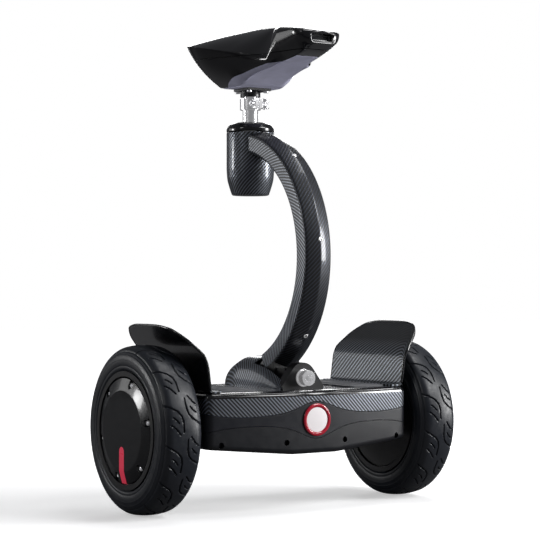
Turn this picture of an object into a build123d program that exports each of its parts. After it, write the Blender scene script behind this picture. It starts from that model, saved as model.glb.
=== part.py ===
from build123d import *
import os
from math import cos, radians, sin

# A seated two-wheel self-balancing scooter, in millimetres.
# X runs along the axle, the front faces -Y, Z is up, and the origin is on the floor under the axle.
os.makedirs("parts", exist_ok=True)

# Wheels
tyre_diameter = 258.0
tyre_width = 70.0
rim_diameter = 180.0
track = 475.0
axle_diameter = 16.0
bearing_diameter = 35.0
bearing_width = 10.0
hub_cover_diameter = 161.0
hub_disc_diameter = 123.0
hub_cover_stand = 3.4
hub_screw_circle = 144.0
hub_screw_count = 6
hub_screw_start = 43.0
running_clearance = 0.05
screw_clearance = 0.1

# Chassis body
body_width = 374.0
body_end_depth = 200.0
body_mid_depth = 236.0
body_corner_radius = 16.0
deck_height = 187.0
belly_height = 90.0
belly_end_rise = 13.0
belly_flat_width = 80.0
edge_radius = 9.0
shell_wall = 3.0
seam = 0.6
frame_height = 112.0
frame_plate = 5.0
frame_width = body_width - 48.0
frame_depth = 172.0
mat_thickness = 3.0
mat_depth = 170.0
mat_inner_edge = 86.0
mat_width = body_width / 2 - mat_inner_edge - 31.0
mat_corner_radius = 10.0
mat_rib_count = 15
badge_diameter = 50.0
badge_opening = 38.0
badge_height = 142.0

# Fenders
fender_wall = 3.0
fender_depth = 196.0
fender_top_reach = 232.0
fender_bend_height = 236.0

# Lean pivot
pivot_height = 204.7
pivot_shaft_diameter = 16.0
pivot_bush_diameter = 23.0
bracket_front = -80.0
bracket_plate = 18.0
bracket_rear = 44.0
bracket_rear_plate = 12.0
bracket_dome_diameter = 47.0
bracket_width = 76.0
bracket_base_height = 174.0
bracket_base = 6.0
bracket_shoulder = 19.0
bolt_head_diameter = 24.0
bolt_head_length = 14.0
foot_block_width = 40.0
foot_block_bottom = 190.0
cowl_width = 84.0
cowl_height = 233.0
cowl_rear = 106.0

# Stem, an arc about an axis parallel to X
stem_axis_y = 77.0
stem_axis_z = 394.0
stem_inner_radius = 170.0
stem_depth = 27.0
stem_crown = 10.0
stem_width = 47.0
stem_wall = 2.6
stem_seam = 0.3
stem_foot_angle = -65.0
stem_head_angle = 81.0
stem_tube_diameter = 22.0
stem_screw_angles = (-37.0, 7.0, 50.0)

# Seat post and its housing
post_axis_y = 74.0
post_diameter = 22.2
seat_tube_diameter = 25.4
housing_diameter = 78.0
housing_bottom = 494.6
housing_bottom_diameter = 61.0
housing_taper = 33.0
housing_seam_height = 597.0
housing_top = 613.0
clamp_bottom = 634.0
clamp_height = 18.0
clamp_diameter = 34.0
post_bottom = 530.0
saddle_clamp_bottom = 655.0
saddle_clamp_diameter = 33.0
lever_thickness = 3.6
lever_length = 58.0
skewer_diameter = 5.0
skewer_nut_diameter = 9.0

# Saddle, as outlines along Y
saddle_plan = [
    (-134, 22), (-128, 35), (-110, 41), (-75, 42), (-45, 41), (-30, 43),
    (30, 72), (90, 102), (130, 88), (155, 50), (161, 22),
]
saddle_rim = [
    (-134, 735), (-110, 741), (-68, 741), (-53, 727),
    (-40, 708), (30, 720), (90, 732), (161, 744),
]
saddle_crown = [(-134, 739), (-90, 749), (-20, 757), (20, 761), (70, 764), (161, 765)]
saddle_foot_plan = [
    (-134, 14), (-110, 20), (-66, 25), (-12, 34),
    (45, 40), (95, 41), (125, 36), (161, 15),
]
saddle_foot = [
    (-134, 718), (-110, 708), (-66, 699), (-25, 691), (20, 681),
    (44, 669), (92, 669), (125, 682), (161, 716),
]
saddle_stations = (
    -134, -128, -110, -92, -75, -68, -53, -40, -25, -10, 4,
    20, 32, 44, 68, 92, 110, 125, 140, 155, 161,
)
saddle_wall = 4.0
saddle_seam_height = 711.5
saddle_base_thickness = 6.0
saddle_base_drop = 1.0

# Rear fittings
button_x = -70.0
socket_x = 70.0
rear_fitting_height = 142.5
button_diameter = 13.0
socket_diameter = 16.0
tail_light_width = 90.0
tail_light_height = 12.0
tail_light_middle = 142.0

wheel_height = tyre_diameter / 2
wheel_x = track / 2
rim_radius = rim_diameter / 2
half_body = body_width / 2
stem_outer_radius = stem_inner_radius + stem_depth
housing_radius = housing_diameter / 2
bracket_back = bracket_front + bracket_plate
frame_top = frame_height + frame_plate


def block(x_span, y_span, z_span):
    """A box from its low and high values along each axis."""
    spans = (x_span, y_span, z_span)
    size = [high - low for low, high in spans]
    centre = [(high + low) / 2 for low, high in spans]
    return Pos(*centre) * Box(*size)


def rod(start, end, diameter):
    """A round bar between two points."""
    run = Vector(*end) - Vector(*start)
    seat = Plane(origin=start, z_dir=run)
    return seat * Cylinder(diameter / 2, run.length, align=(Align.CENTER, Align.CENTER, Align.MIN))


def tube(start, end, outer, inner):
    """A round tube between two points, given its two diameters."""
    return rod(start, end, outer) - rod(start, end, inner)


def both_sides(shape):
    """The shape and its mirror image across the middle plane."""
    return shape + mirror(shape, about=Plane.YZ)


def write(node, shape):
    """Write one node's solids."""
    export_step(shape, f"parts/{node}.step")


def along(stations, y):
    """The value at y of a line through (y, value) stations."""
    for (low, first), (high, last) in zip(stations, stations[1:]):
        if y <= high:
            return first + (last - first) * (y - low) / (high - low)
    return stations[-1][1]


# ---------------------------------------------------------------- wheels


def turned(outline):
    """Turn a (distance outboard, radius) outline about the right wheel's axle line."""
    face = make_face(Polyline(*outline, close=True))
    return Pos(wheel_x, 0, wheel_height) * revolve(face, Axis.X, 360)


def tyre():
    """Hollow tyre casing with rounded sidewalls and a gently crowned tread."""
    half = tyre_width / 2
    crown = tyre_diameter / 2
    bead = half - 4
    section = [
        ThreePointArc((-bead, rim_radius), (-half, crown - 25), (-bead, crown - 11)),
        ThreePointArc((-bead, crown - 11), (-half + 9, crown - 4.8), (-half + 16, crown - 1.7)),
        ThreePointArc((-half + 16, crown - 1.7), (0, crown), (half - 16, crown - 1.7)),
        ThreePointArc((half - 16, crown - 1.7), (half - 9, crown - 4.8), (bead, crown - 11)),
        ThreePointArc((bead, crown - 11), (half, crown - 25), (bead, rim_radius)),
        Line((bead, rim_radius), (bead - 7, rim_radius)),
        ThreePointArc((bead - 7, rim_radius), (half - 6.5, crown - 26), (half - 11, crown - 14)),
        ThreePointArc((half - 11, crown - 14), (0, crown - 8), (-half + 11, crown - 14)),
        ThreePointArc((-half + 11, crown - 14), (-half + 6.5, crown - 26), (-bead + 7, rim_radius)),
        Line((-bead + 7, rim_radius), (-bead, rim_radius)),
    ]
    return Pos(wheel_x, 0, wheel_height) * revolve(make_face(section), Axis.X, 360)


rim_half = tyre_width / 2 - 1
flange_outer = rim_half - 8
flange_inner = flange_outer - 4
drum_radius = rim_radius - 12
flange_bore = hub_screw_circle / 2 - 6
cover_pocket = rim_radius - 8
bearing_end = flange_inner + 1
bearing_start = bearing_end - bearing_width
hub_screw_diameter = 4.0
hub_screw_seat = flange_outer + 4.5


def hub_screw_places():
    """Angles of the hub screws, from the top of the wheel."""
    step = 360 / hub_screw_count
    return [hub_screw_start + step * turn for turn in range(hub_screw_count)]


def hub_screw_rods(low, high, diameter):
    """Round bars on the hub screw circle, between two distances outboard."""
    bars = []
    for angle in hub_screw_places():
        y = hub_screw_circle / 2 * sin(radians(angle))
        z = wheel_height + hub_screw_circle / 2 * cos(radians(angle))
        bars.append(rod((wheel_x + low, y, z), (wheel_x + high, y, z), diameter))
    return bars


def rim():
    """Cast drum that carries the tyre, with a bolting flange on each side."""
    outline = [
        (-rim_half, cover_pocket), (-rim_half, rim_radius), (rim_half, rim_radius),
        (rim_half, cover_pocket), (flange_outer, cover_pocket), (flange_outer, flange_bore),
        (flange_inner, flange_bore), (flange_inner, drum_radius), (-flange_inner, drum_radius),
        (-flange_inner, flange_bore), (-flange_outer, flange_bore), (-flange_outer, cover_pocket),
    ]
    holes = hub_screw_rods(flange_inner - 1, flange_outer + 1, hub_screw_diameter + 2 * screw_clearance)
    return turned(outline) - holes


def hub_cover():
    """Outer hub cover: raised flat disc, sloping ring and a bearing pocket behind."""
    outer = hub_cover_diameter / 2
    disc = hub_disc_diameter / 2
    face = rim_half + hub_cover_stand + 1
    pocket = bearing_diameter / 2
    outline = [
        (bearing_end, 0), (bearing_end, pocket), (bearing_start, pocket), (bearing_start, pocket + 4.5),
        (face - 6, pocket + 4.5), (face - 6, flange_bore - 6), (flange_outer, flange_bore),
        (flange_outer, outer), (rim_half - 0.6, outer), (face, disc), (face, 0),
    ]
    shanks = hub_screw_rods(flange_outer - 1, hub_screw_seat + 1, hub_screw_diameter + 2 * screw_clearance)
    pockets = hub_screw_rods(hub_screw_seat, face + 1, 9.0)
    return turned(outline) - shanks - pockets


def hub_screws():
    """Ring of cap screws that hold the hub cover."""
    shanks = hub_screw_rods(flange_inner - 0.5, hub_screw_seat + 0.1, hub_screw_diameter)
    heads = hub_screw_rods(hub_screw_seat, hub_screw_seat + 2.6, 7.0)
    sockets = hub_screw_rods(hub_screw_seat + 1.2, hub_screw_seat + 3, 3.0)
    return Part() + [head + shank - hole for head, shank, hole in zip(heads, shanks, sockets)]


def motor_cover():
    """Inner hub cover with a bearing pocket and a clear hole for the axle."""
    pocket = bearing_diameter / 2
    hole = axle_diameter / 2 + 4
    outline = [
        (-flange_outer - 5, hole), (-bearing_end, hole), (-bearing_end, pocket), (-bearing_start, pocket),
        (-bearing_start, pocket + 4.5), (-flange_outer, pocket + 4.5),
        (-flange_outer, hub_cover_diameter / 2), (-flange_outer - 5, hub_cover_diameter / 2),
    ]
    return turned(outline)


def bearings():
    """The two ball bearings that the wheel turns on."""
    bore = axle_diameter / 2 + running_clearance
    outside = bearing_diameter / 2
    rings = []
    for start, end in ((bearing_start, bearing_end), (-bearing_end, -bearing_start)):
        rings.append(turned([(start, bore), (start, outside), (end, outside), (end, bore)]))
    return rings[0] + rings[1]


magnet_inner = drum_radius - 6
stator_outer = magnet_inner - 0.8
stator_half = bearing_start - 1.5


def magnet_ring():
    """Ring of motor magnets inside the drum."""
    reach = stator_half + 4
    return turned([
        (-reach, magnet_inner), (-reach, drum_radius),
        (reach, drum_radius), (reach, magnet_inner),
    ])


def stator():
    """Motor stator on the fixed axle, with open winding slots."""
    radius = axle_diameter / 2
    core = turned([
        (-stator_half, radius), (-stator_half, stator_outer),
        (stator_half, stator_outer), (stator_half, radius),
    ])
    slot_radius = stator_outer - 14
    slots = []
    for turn in range(12):
        y = slot_radius * sin(radians(30 * turn))
        z = wheel_height + slot_radius * cos(radians(30 * turn))
        slots.append(rod((wheel_x - stator_half - 1, y, z), (wheel_x + stator_half + 1, y, z), 16))
    return core - slots


axle_inner_end = half_body - 44
axle_outer_end = wheel_x + bearing_end - 1


def wheel_axle():
    """Fixed axle from the chassis clamp to the outer bearing."""
    return rod((axle_inner_end, 0, wheel_height), (axle_outer_end, 0, wheel_height), axle_diameter)


# ---------------------------------------------------------------- chassis

upper_wave = [(0, 170), (40, 159), (100, 150), (194, 158)]
lower_wave = [(0, 113.5), (38, 125.5), (105, 135.5), (194, 126)]


def plan_outline(inset):
    """Body outline from above, with bowed front and rear."""
    half = half_body - inset
    end = body_end_depth / 2 - inset
    middle = body_mid_depth / 2 - inset
    front = ThreePointArc((-half, -end), (0, -middle), (half, -end))
    rear = ThreePointArc((half, end), (0, middle), (-half, end))
    face = make_face([front, Line((half, -end), (half, end)), rear, Line((-half, end), (-half, -end))])
    return fillet(face.vertices(), body_corner_radius - inset)


def body_volume(inset):
    """The body's outside, or its inside when inset by the wall."""
    top = deck_height - inset
    floor = belly_height + inset
    end_floor = floor + belly_end_rise
    flat = belly_flat_width / 2
    outline = Polyline(
        (half_body, top), (half_body, end_floor), (flat, floor),
        (-flat, floor), (-half_body, end_floor), (-half_body, top), close=True,
    )
    slab = extrude(Plane.XZ * make_face(outline), body_mid_depth, both=True)
    solid = extrude(plan_outline(inset), 2 * deck_height) & slab
    top_edges = solid.faces().sort_by(Axis.Z)[-1].edges()
    solid = fillet(top_edges, edge_radius - inset)
    low_edges = [
        edge for edge in solid.edges()
        if edge.center().Z < end_floor + 1 and edge.bounding_box().max.Z < end_floor + 0.5
        and not (abs(edge.center().Y) < 1 and abs(edge.center().X) < flat + 1)
    ]
    return fillet(low_edges, edge_radius - inset)


def above(points, shift):
    """Everything above a flowing parting line that is the same on both sides."""
    right = [(x, z + shift) for x, z in points]
    left = [(-x, z) for x, z in reversed(right) if x > 0]
    line = Spline(*left, *right)
    reach = points[-1][0]
    top = deck_height + 20
    sides = [
        Line(line @ 1, (reach, top)),
        Line((reach, top), (-reach, top)),
        Line((-reach, top), line @ 0),
    ]
    return extrude(Plane.XZ * make_face([line, *sides]), body_mid_depth, both=True)


def front_y(x, inset=0.0):
    """How far the bowed front face stands from the middle at x."""
    bow = (body_mid_depth - body_end_depth) / 2
    sagitta_radius = (half_body**2 + bow**2) / (2 * bow)
    return body_mid_depth / 2 - inset - sagitta_radius + (sagitta_radius**2 - x**2) ** 0.5


axle_hole = axle_diameter + 8


def axle_passage():
    """Clear way for the axles through both end walls."""
    return rod((-half_body - 5, 0, wheel_height), (half_body + 5, 0, wheel_height), axle_hole)


belly_screw_reach = (54, half_body - 24)
belly_screw_places = [(sign * x, end) for sign in (-1, 1) for x in belly_screw_reach for end in (-1, 1)]
belly_screw_height = 109.0
recess_diameter = 9.0
recess_depth = 9.0
boss_depth = 17.0


def belly_screw_rods(outer, inner, diameter):
    """Bars in from the front and rear faces at each belly screw."""
    bars = []
    for x, side in belly_screw_places:
        face = front_y(abs(x))
        start = (x, side * (face - inner), belly_screw_height)
        end = (x, side * (face - outer), belly_screw_height)
        bars.append(rod(start, end, diameter))
    return bars


bracket_slot_margin = 2.0


def badge_pocket(diameter):
    """Round bar through the front wall at the badge."""
    face = body_mid_depth / 2
    return rod((0, -face + 12, badge_height), (0, -face - 4, badge_height), diameter)


def deck_cover(shell):
    """Upper cover with a slot for the pivot bracket."""
    margin = bracket_width / 2 + bracket_slot_margin
    slot = block(
        (-margin, margin),
        (bracket_front - bracket_slot_margin, bracket_rear + bracket_rear_plate + bracket_slot_margin),
        (bracket_base_height - 5, deck_height + 5),
    )
    return (shell & above(upper_wave, seam / 2)) - slot


def mid_band(shell):
    """Middle band with the badge seat, rear fittings and axle holes."""
    lower = above(lower_wave, seam / 2)
    band = (shell & lower) - above(upper_wave, -seam / 2)
    rear = body_mid_depth / 2
    button_y = front_y(button_x)
    socket_y = front_y(socket_x)
    level = rear_fitting_height
    cuts = [
        badge_pocket(badge_diameter - 8),
        axle_passage(),
        rod((button_x, button_y - 10, level), (button_x, button_y + 4, level), button_diameter + 0.8),
        rod((socket_x, socket_y - 12, level), (socket_x, socket_y + 4, level), socket_diameter),
        block((-tail_light_width / 2, tail_light_width / 2), (rear - 12, rear + 4),
              (tail_light_middle - tail_light_height / 2, tail_light_middle + tail_light_height / 2)),
    ]
    return band - cuts


def belly_pan(shell, outside):
    """Lower pan with screw bosses behind deep recesses."""
    bosses = [boss & outside for boss in belly_screw_rods(-6, boss_depth, recess_diameter + 6)]
    filled = shell + bosses
    recesses = belly_screw_rods(-6, recess_depth, recess_diameter)
    shanks = belly_screw_rods(recess_depth - 1, boss_depth - 1, 4 + 2 * screw_clearance)
    return filled - above(lower_wave, -seam / 2) - recesses - shanks - axle_passage()


def belly_screws():
    """Screws at the bottom of the belly recesses."""
    heads = belly_screw_rods(recess_depth - 2.5, recess_depth, 7.6)
    shanks = belly_screw_rods(recess_depth - 0.5, boss_depth - 2, 4)
    return Part() + [head + shank for head, shank in zip(heads, shanks)]


def chassis_frame():
    """Alloy frame plate with axle seats and a tower under the lean pivot."""
    half_width = frame_width / 2
    half_depth = frame_depth / 2
    plate = block((-half_width, half_width), (-half_depth, half_depth), (frame_height, frame_top))
    seat = block((axle_inner_end + 2, axle_inner_end + 20), (-26, 26), (frame_top, wheel_height))
    tower = block(
        (-bracket_width / 2 + 6, bracket_width / 2 - 6),
        (bracket_front + 2, bracket_rear + bracket_rear_plate),
        (frame_top, bracket_base_height),
    )
    hollow = block(
        (-bracket_width / 2 + 11, bracket_width / 2 - 11),
        (bracket_front - 5, bracket_rear + bracket_rear_plate + 5),
        (frame_top, bracket_base_height - 6),
    )
    grooves = rod((-half_body, 0, wheel_height), (half_body, 0, wheel_height), axle_diameter)
    holes = bracket_screw_rods(bracket_base_height - 12, bracket_base_height + 1, 5 + 2 * screw_clearance)
    return plate + both_sides(seat) + (tower - hollow) - grooves - holes


def axle_clamps():
    """Caps that clamp each axle down on its seat."""
    cap = block((axle_inner_end + 2, axle_inner_end + 20), (-26, 26), (wheel_height, wheel_height + 17))
    groove = rod((0, 0, wheel_height), (half_body, 0, wheel_height), axle_diameter)
    return both_sides(cap - groove)


def foot_mat():
    """Rubber mat on the deck, with raised ribs."""
    inner = mat_inner_edge
    outer = mat_inner_edge + mat_width
    half = mat_depth / 2
    outline = RectangleRounded(mat_width, mat_depth, mat_corner_radius)
    base = extrude(Pos((inner + outer) / 2, 0, deck_height) * outline, mat_thickness - 1)
    top = deck_height + mat_thickness
    ribs = []
    pitch = (mat_depth - 2 * mat_corner_radius) / (mat_rib_count - 1)
    for turn in range(mat_rib_count):
        y = -half + mat_corner_radius + pitch * turn
        ribs.append(block((inner + 6, outer - 6), (y - 2.2, y + 2.2), (top - 1.2, top)))
    return base + ribs


def fender():
    """Fender with a foot on the deck, an upright wall and a flared ear over the tyre."""
    wall = half_body - edge_radius
    bend = fender_bend_height
    bend_x = wall + 6
    reach = fender_top_reach
    level = deck_height + fender_wall / 2
    wall_foot = (wall + 1, deck_height + 8)
    wall_run = (bend_x - wall_foot[0], bend - wall_foot[1])
    ear_foot = (bend_x + 11, bend + 14)
    centre = [
        Line((wall - 18, level), (wall - 6, level)),
        TangentArc((wall - 6, level), wall_foot, tangent=(1, 0)),
        Line(wall_foot, (bend_x, bend)),
        TangentArc((bend_x, bend), ear_foot, tangent=wall_run),
        Line(ear_foot, (reach, ear_foot[1] + reach - ear_foot[0])),
    ]
    section = offset(Wire(centre), fender_wall / 2, kind=Kind.ARC, side=Side.BOTH)
    half = fender_depth / 2
    sheet = extrude(Plane.XZ * make_face(section), half, both=True)
    ear = Spline((bend_x + 2, -half), (reach - 20, -half + 13), (reach - 4, -60), (reach + 2, 0),
                 (reach - 4, 60), (reach - 20, half - 13), (bend_x + 2, half))
    inside = wall - 25
    edges = [
        Line((inside, -half), (bend_x + 2, -half)),
        ear,
        Line((bend_x + 2, half), (inside, half)),
        Line((inside, half), (inside, -half)),
    ]
    plan = extrude(make_face(edges), 2 * cowl_height)
    return sheet & plan


def badge_bezel():
    """Round badge rim standing off the front of the middle band."""
    face = body_mid_depth / 2
    level = badge_height
    ring = tube((0, -face - 2.5, level), (0, -face - 0.1, level), badge_diameter, badge_opening)
    spigot = tube((0, -face - 1, level), (0, -face + 6, level), badge_diameter - 8.4, badge_opening)
    return ring + spigot


def badge_lens():
    """Pearl reflector lens in the badge rim."""
    face = body_mid_depth / 2
    return rod((0, -face - 1.6, badge_height), (0, -face + 4, badge_height), badge_opening - 0.1)


def bracket_screw_rods(low, high, diameter):
    """Upright bars at the four bracket screws."""
    bars = []
    for x in (-24, 24):
        for y in (bracket_back + 14, bracket_rear - 14):
            bars.append(rod((x, y, low), (x, y, high), diameter))
    return bars


def bracket_wall(front, thickness, dome_diameter):
    """Domed pivot plate on the bracket's base."""
    tall = bracket_shoulder
    dome = Pos(0, pivot_height) * Circle(dome_diameter / 2)
    base = Pos(0, bracket_base_height + tall / 2) * Rectangle(bracket_width, tall)
    outline = make_hull(dome.edges() + base.edges())
    plane = Plane(origin=(0, front, 0), x_dir=(1, 0, 0), z_dir=(0, -1, 0))
    return extrude(plane * outline, -thickness)


def pivot_bracket():
    """Bracket with a domed pivot plate at each end of the lean shaft."""
    rear_end = bracket_rear + bracket_rear_plate
    half = bracket_width / 2
    floor = bracket_base_height
    base = block((-half, half), (bracket_front, rear_end), (floor, floor + bracket_base))
    front = bracket_wall(bracket_front, bracket_plate, bracket_dome_diameter)
    rear = bracket_wall(bracket_rear, bracket_rear_plate, pivot_bush_diameter + 12)
    bore = rod((0, bracket_front - 1, pivot_height), (0, rear_end + 1, pivot_height), pivot_bush_diameter)
    holes = bracket_screw_rods(floor - 1, floor + 20, 5 + 2 * screw_clearance)
    return base + front + rear - bore - holes


def bracket_screws():
    """Cap screws that hold the bracket on the frame tower."""
    top = bracket_base_height + bracket_base
    shanks = bracket_screw_rods(bracket_base_height - 11, top + 0.1, 5)
    heads = bracket_screw_rods(top, top + 3.5, 8.5)
    return Part() + [head + shank for head, shank in zip(heads, shanks)]


def pivot_bushes():
    """Plain bushes of the lean shaft."""
    bore = pivot_shaft_diameter + 2 * running_clearance
    outside = pivot_bush_diameter
    rear_end = bracket_rear + bracket_rear_plate
    front = tube((0, bracket_front, pivot_height), (0, bracket_back, pivot_height), outside, bore)
    rear = tube((0, bracket_rear, pivot_height), (0, rear_end, pivot_height), outside, bore)
    return front + rear


def lean_stops():
    """Rubber blocks that the stem foot meets at full lean."""
    low = bracket_base_height + bracket_base
    edge = foot_block_width / 2
    stop = block((edge - 13, edge - 3), (-30, 20), (low, low + 5))
    return both_sides(stop)


def cowl_volume(inset):
    """Hump over the stem base, or its inside when inset."""
    half = cowl_width / 2 - inset
    top = cowl_height - inset
    rear = cowl_rear - inset
    front = bracket_back + 1
    side_profile = make_face([
        Line((front, deck_height), (front, deck_height + 22)),
        Spline(
            (front, deck_height + 22), (-20, top - 4), (20, top),
            (66, top - 6), (rear, deck_height + 14),
        ),
        Line((rear, deck_height + 14), (rear, deck_height)),
        Line((rear, deck_height), (front, deck_height)),
    ])
    front_profile = make_face([
        Line((-half, deck_height), (half, deck_height)),
        Line((half, deck_height), (half - 2, deck_height + 24)),
        ThreePointArc((half - 2, deck_height + 24), (0, top + 4), (-half + 2, deck_height + 24)),
        Line((-half + 2, deck_height + 24), (-half, deck_height)),
    ])
    lengthwise = extrude(Plane.YZ * side_profile, half + 2, both=True)
    crosswise = extrude(Plane.XZ * front_profile, 2 * cowl_rear, both=True)
    return lengthwise & crosswise


def stem_cowl():
    """Cowl shell, open along the top where the stem foot leans."""
    shell = cowl_volume(0) - cowl_volume(shell_wall)
    half = stem_width / 2 + 8.5
    slot = block((-half, half), (bracket_front, bracket_rear - 1), (deck_height - 1, cowl_height + 20))
    return shell - slot


def battery_pack():
    """Battery in its case, on the left of the frame."""
    reach = axle_inner_end - 25
    return block((-reach, -42), (-72, 72), (frame_top, frame_top + 44))


def control_board():
    """Balance controller on four stand-offs, with two capacitors and a connector."""
    top = frame_top + 6
    reach = axle_inner_end - 27
    board = block((46, reach), (-62, 62), (top, top + 2))
    legs = [rod((x, y, frame_top), (x, y, top), 6) for x in (52, reach - 6) for y in (-56, 56)]
    caps = [rod((66, y, top + 2), (66, y, top + 22), 14) for y in (-30, 0)]
    plug = block((reach - 26, reach - 12), (20, 50), (top + 2, top + 12))
    return board + legs + caps + plug


def tail_light():
    """Rear lamp lens bar in the middle band."""
    rear = body_mid_depth / 2
    half = tail_light_width / 2 - 0.2
    low = tail_light_middle - tail_light_height / 2 + 0.2
    lens = block((-half, half), (rear - 10, rear + 1.5), (low, low + tail_light_height - 0.4))
    return lens & body_rear_skin(1.5)


def body_rear_skin(stand):
    """Space inside the body outline, grown outward by stand."""
    return extrude(plan_outline(-stand), 2 * deck_height)


def charge_socket():
    """Round charging inlet with a hollow cup and two contact pins."""
    face = front_y(socket_x)
    z = rear_fitting_height
    cup = rod((socket_x, face - 12, z), (socket_x, face + socket_lip, z), socket_diameter - 0.2)
    hollow = rod((socket_x, face - 9, z), (socket_x, face + 2, z), socket_diameter - 5)
    pins = [rod((socket_x + dx, face - 10, z), (socket_x + dx, face - 3, z), 2) for dx in (-3.5, 3.5)]
    return cup - hollow + pins


socket_lip = 1.6
cap_gap = 0.3
cap_thickness = 2.2
cap_hinge_height = rear_fitting_height + socket_diameter / 2 + 4


def charge_cap():
    """Hinged rubber flap over the charging inlet."""
    face = front_y(socket_x) + socket_lip + cap_gap
    z = rear_fitting_height
    disc = rod((socket_x, face, z), (socket_x, face + cap_thickness, z), socket_diameter + 4)
    tab = block((socket_x - 5, socket_x + 5), (face, face + cap_thickness), (z, cap_hinge_height))
    middle = face + cap_thickness / 2
    hinge = cap_hinge_height
    knuckle = rod((socket_x - 5, middle, hinge), (socket_x + 5, middle, hinge), cap_thickness)
    return disc + tab + knuckle


def power_button():
    """Round push button at the rear."""
    face = front_y(button_x)
    z = rear_fitting_height
    cap = rod((button_x, face - 7, z), (button_x, face + 2.2, z), button_diameter)
    flange = rod((button_x, face - 9.4, z), (button_x, face - 7, z), button_diameter + 3)
    return cap + flange


# ---------------------------------------------------------------- stem


def swept(face, start_angle, end_angle):
    """Turn a (x, radius) face about the stem's own axis, from one angle to another."""
    arc = end_angle - start_angle
    turned_face = revolve(face, Axis.X, arc)
    return Pos(0, stem_axis_y, stem_axis_z) * Rot(180 - end_angle, 0, 0) * turned_face


def stem_point(radius, angle):
    """The (y, z) point of the stem at a radius and an angle above straight ahead."""
    y = stem_axis_y - radius * cos(radians(angle))
    z = stem_axis_z + radius * sin(radians(angle))
    return y, z


def stem_section(gap):
    """Whole outside of the stem's section, grown by gap."""
    half = stem_width / 2 + gap
    low = stem_inner_radius - gap
    shoulder = stem_outer_radius + stem_seam + gap / 2
    ridge = stem_outer_radius + stem_crown + gap
    return make_face(Polyline(
        (-half, shoulder), (-half, low + 4), (-half + 4, low), (half - 4, low), (half, low + 4),
        (half, shoulder), (half - 2.5, shoulder + 3.2), (0, ridge), (-half + 2.5, shoulder + 3.2),
        close=True,
    ))


def stem_volume(gap, start_angle, end_angle):
    """Solid shape of the stem between two angles."""
    return swept(stem_section(gap), start_angle, end_angle)


def stem_rear_cover():
    """Channel that makes the stem's concave face and both sides."""
    half = stem_width / 2
    low = stem_inner_radius
    high = stem_outer_radius
    wall = stem_wall
    face = make_face(Polyline(
        (-half, high), (-half, low + 4), (-half + 4, low), (half - 4, low), (half, low + 4), (half, high),
        (half - wall, high), (half - wall, low + 5), (half - 5, low + wall),
        (-half + 5, low + wall), (-half + wall, low + 5), (-half + wall, high), close=True,
    ))
    return swept(face, stem_foot_angle, stem_head_angle)


def stem_front_cover():
    """Crowned front strip with a ridge along its middle."""
    half = stem_width / 2
    low = stem_outer_radius + stem_seam
    ridge = stem_outer_radius + stem_crown
    face = make_face(Polyline(
        (-half, low), (-half + 2.5, low + 3.2), (0, ridge), (half - 2.5, low + 3.2), (half, low),
        (half - 4, low), (0, ridge - 4), (-half + 4, low), close=True,
    ))
    strip = swept(face, stem_foot_angle, stem_head_angle)
    holes = [stem_screw_rod(angle, -8, 3, 4 + 2 * screw_clearance) for angle in stem_screw_angles]
    pockets = [stem_screw_rod(angle, -1.6, 3, 8) for angle in stem_screw_angles]
    return strip - holes - pockets


def stem_screw_rod(angle, low, high, diameter):
    """Bar across the ridge at an angle, from low to high outside the ridge."""
    ridge = stem_outer_radius + stem_crown
    start = stem_point(ridge + low, angle)
    end = stem_point(ridge + high, angle)
    return rod((0, *start), (0, *end), diameter)


def stem_cover_screws():
    """Bright screws along the stem's ridge."""
    screws = []
    for angle in stem_screw_angles:
        head = stem_screw_rod(angle, -1.6, 0.6, 7.6)
        shank = stem_screw_rod(angle, -9, -1.5, 4)
        screws.append(head + shank)
    return Part() + screws


stem_tube_radius = stem_inner_radius + stem_depth / 2 + 0.5
stem_tube_foot_angle = stem_foot_angle - 9
stem_tube_head_angle = stem_head_angle + 2


def stem_tube_volume(diameter):
    """Round bar along the stem."""
    circle = Pos(0, stem_tube_radius) * Circle(diameter / 2)
    return swept(circle, stem_tube_foot_angle, stem_tube_head_angle)


def stem_tube():
    """Steel tube that carries the load inside the stem covers."""
    ring = Circle(stem_tube_diameter / 2) - Circle(stem_tube_diameter / 2 - 2.5)
    return swept(Pos(0, stem_tube_radius) * ring, stem_tube_foot_angle, stem_tube_head_angle)


foot_front = bracket_back + 3
foot_rear = bracket_rear - 3


def stem_foot():
    """Forged foot that joins the stem to its lean shaft."""
    half = foot_block_width / 2
    lower = block((-half, half), (foot_front, foot_rear), (foot_block_bottom, pivot_height + 14))
    riser = block((-stem_width / 2, stem_width / 2), (-34, 32), (pivot_height + 4, cowl_height + 3))
    axis = pivot_height
    shaft_end = bracket_rear + bracket_rear_plate + 1
    shaft = rod((0, bracket_front - 0.4, axis), (0, shaft_end, axis), pivot_shaft_diameter)
    bolt_hole = rod((0, bracket_front - 1, axis), (0, bracket_front + 28, axis), 10)
    stem = stem_volume(0, stem_foot_angle, stem_foot_angle + 40)
    solid = lower + riser + shaft - stem - stem_tube_volume(stem_tube_diameter)
    return solid - bolt_hole - foot_screw_rods(-1, 12, 4)


foot_screw_height = 214.0


def foot_screw_rods(low, high, diameter):
    """Bars into the front of the stem foot."""
    level = foot_screw_height
    bars = []
    for x in (-12, 12):
        bars.append(rod((x, foot_front + high, level), (x, foot_front + low, level), diameter))
    return bars


def foot_screws():
    """Small screws in the front of the stem foot."""
    heads = foot_screw_rods(-2, 0, 6)
    shanks = foot_screw_rods(-0.5, 11, 3.8)
    return Part() + [head + shank for head, shank in zip(heads, shanks)]


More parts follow.
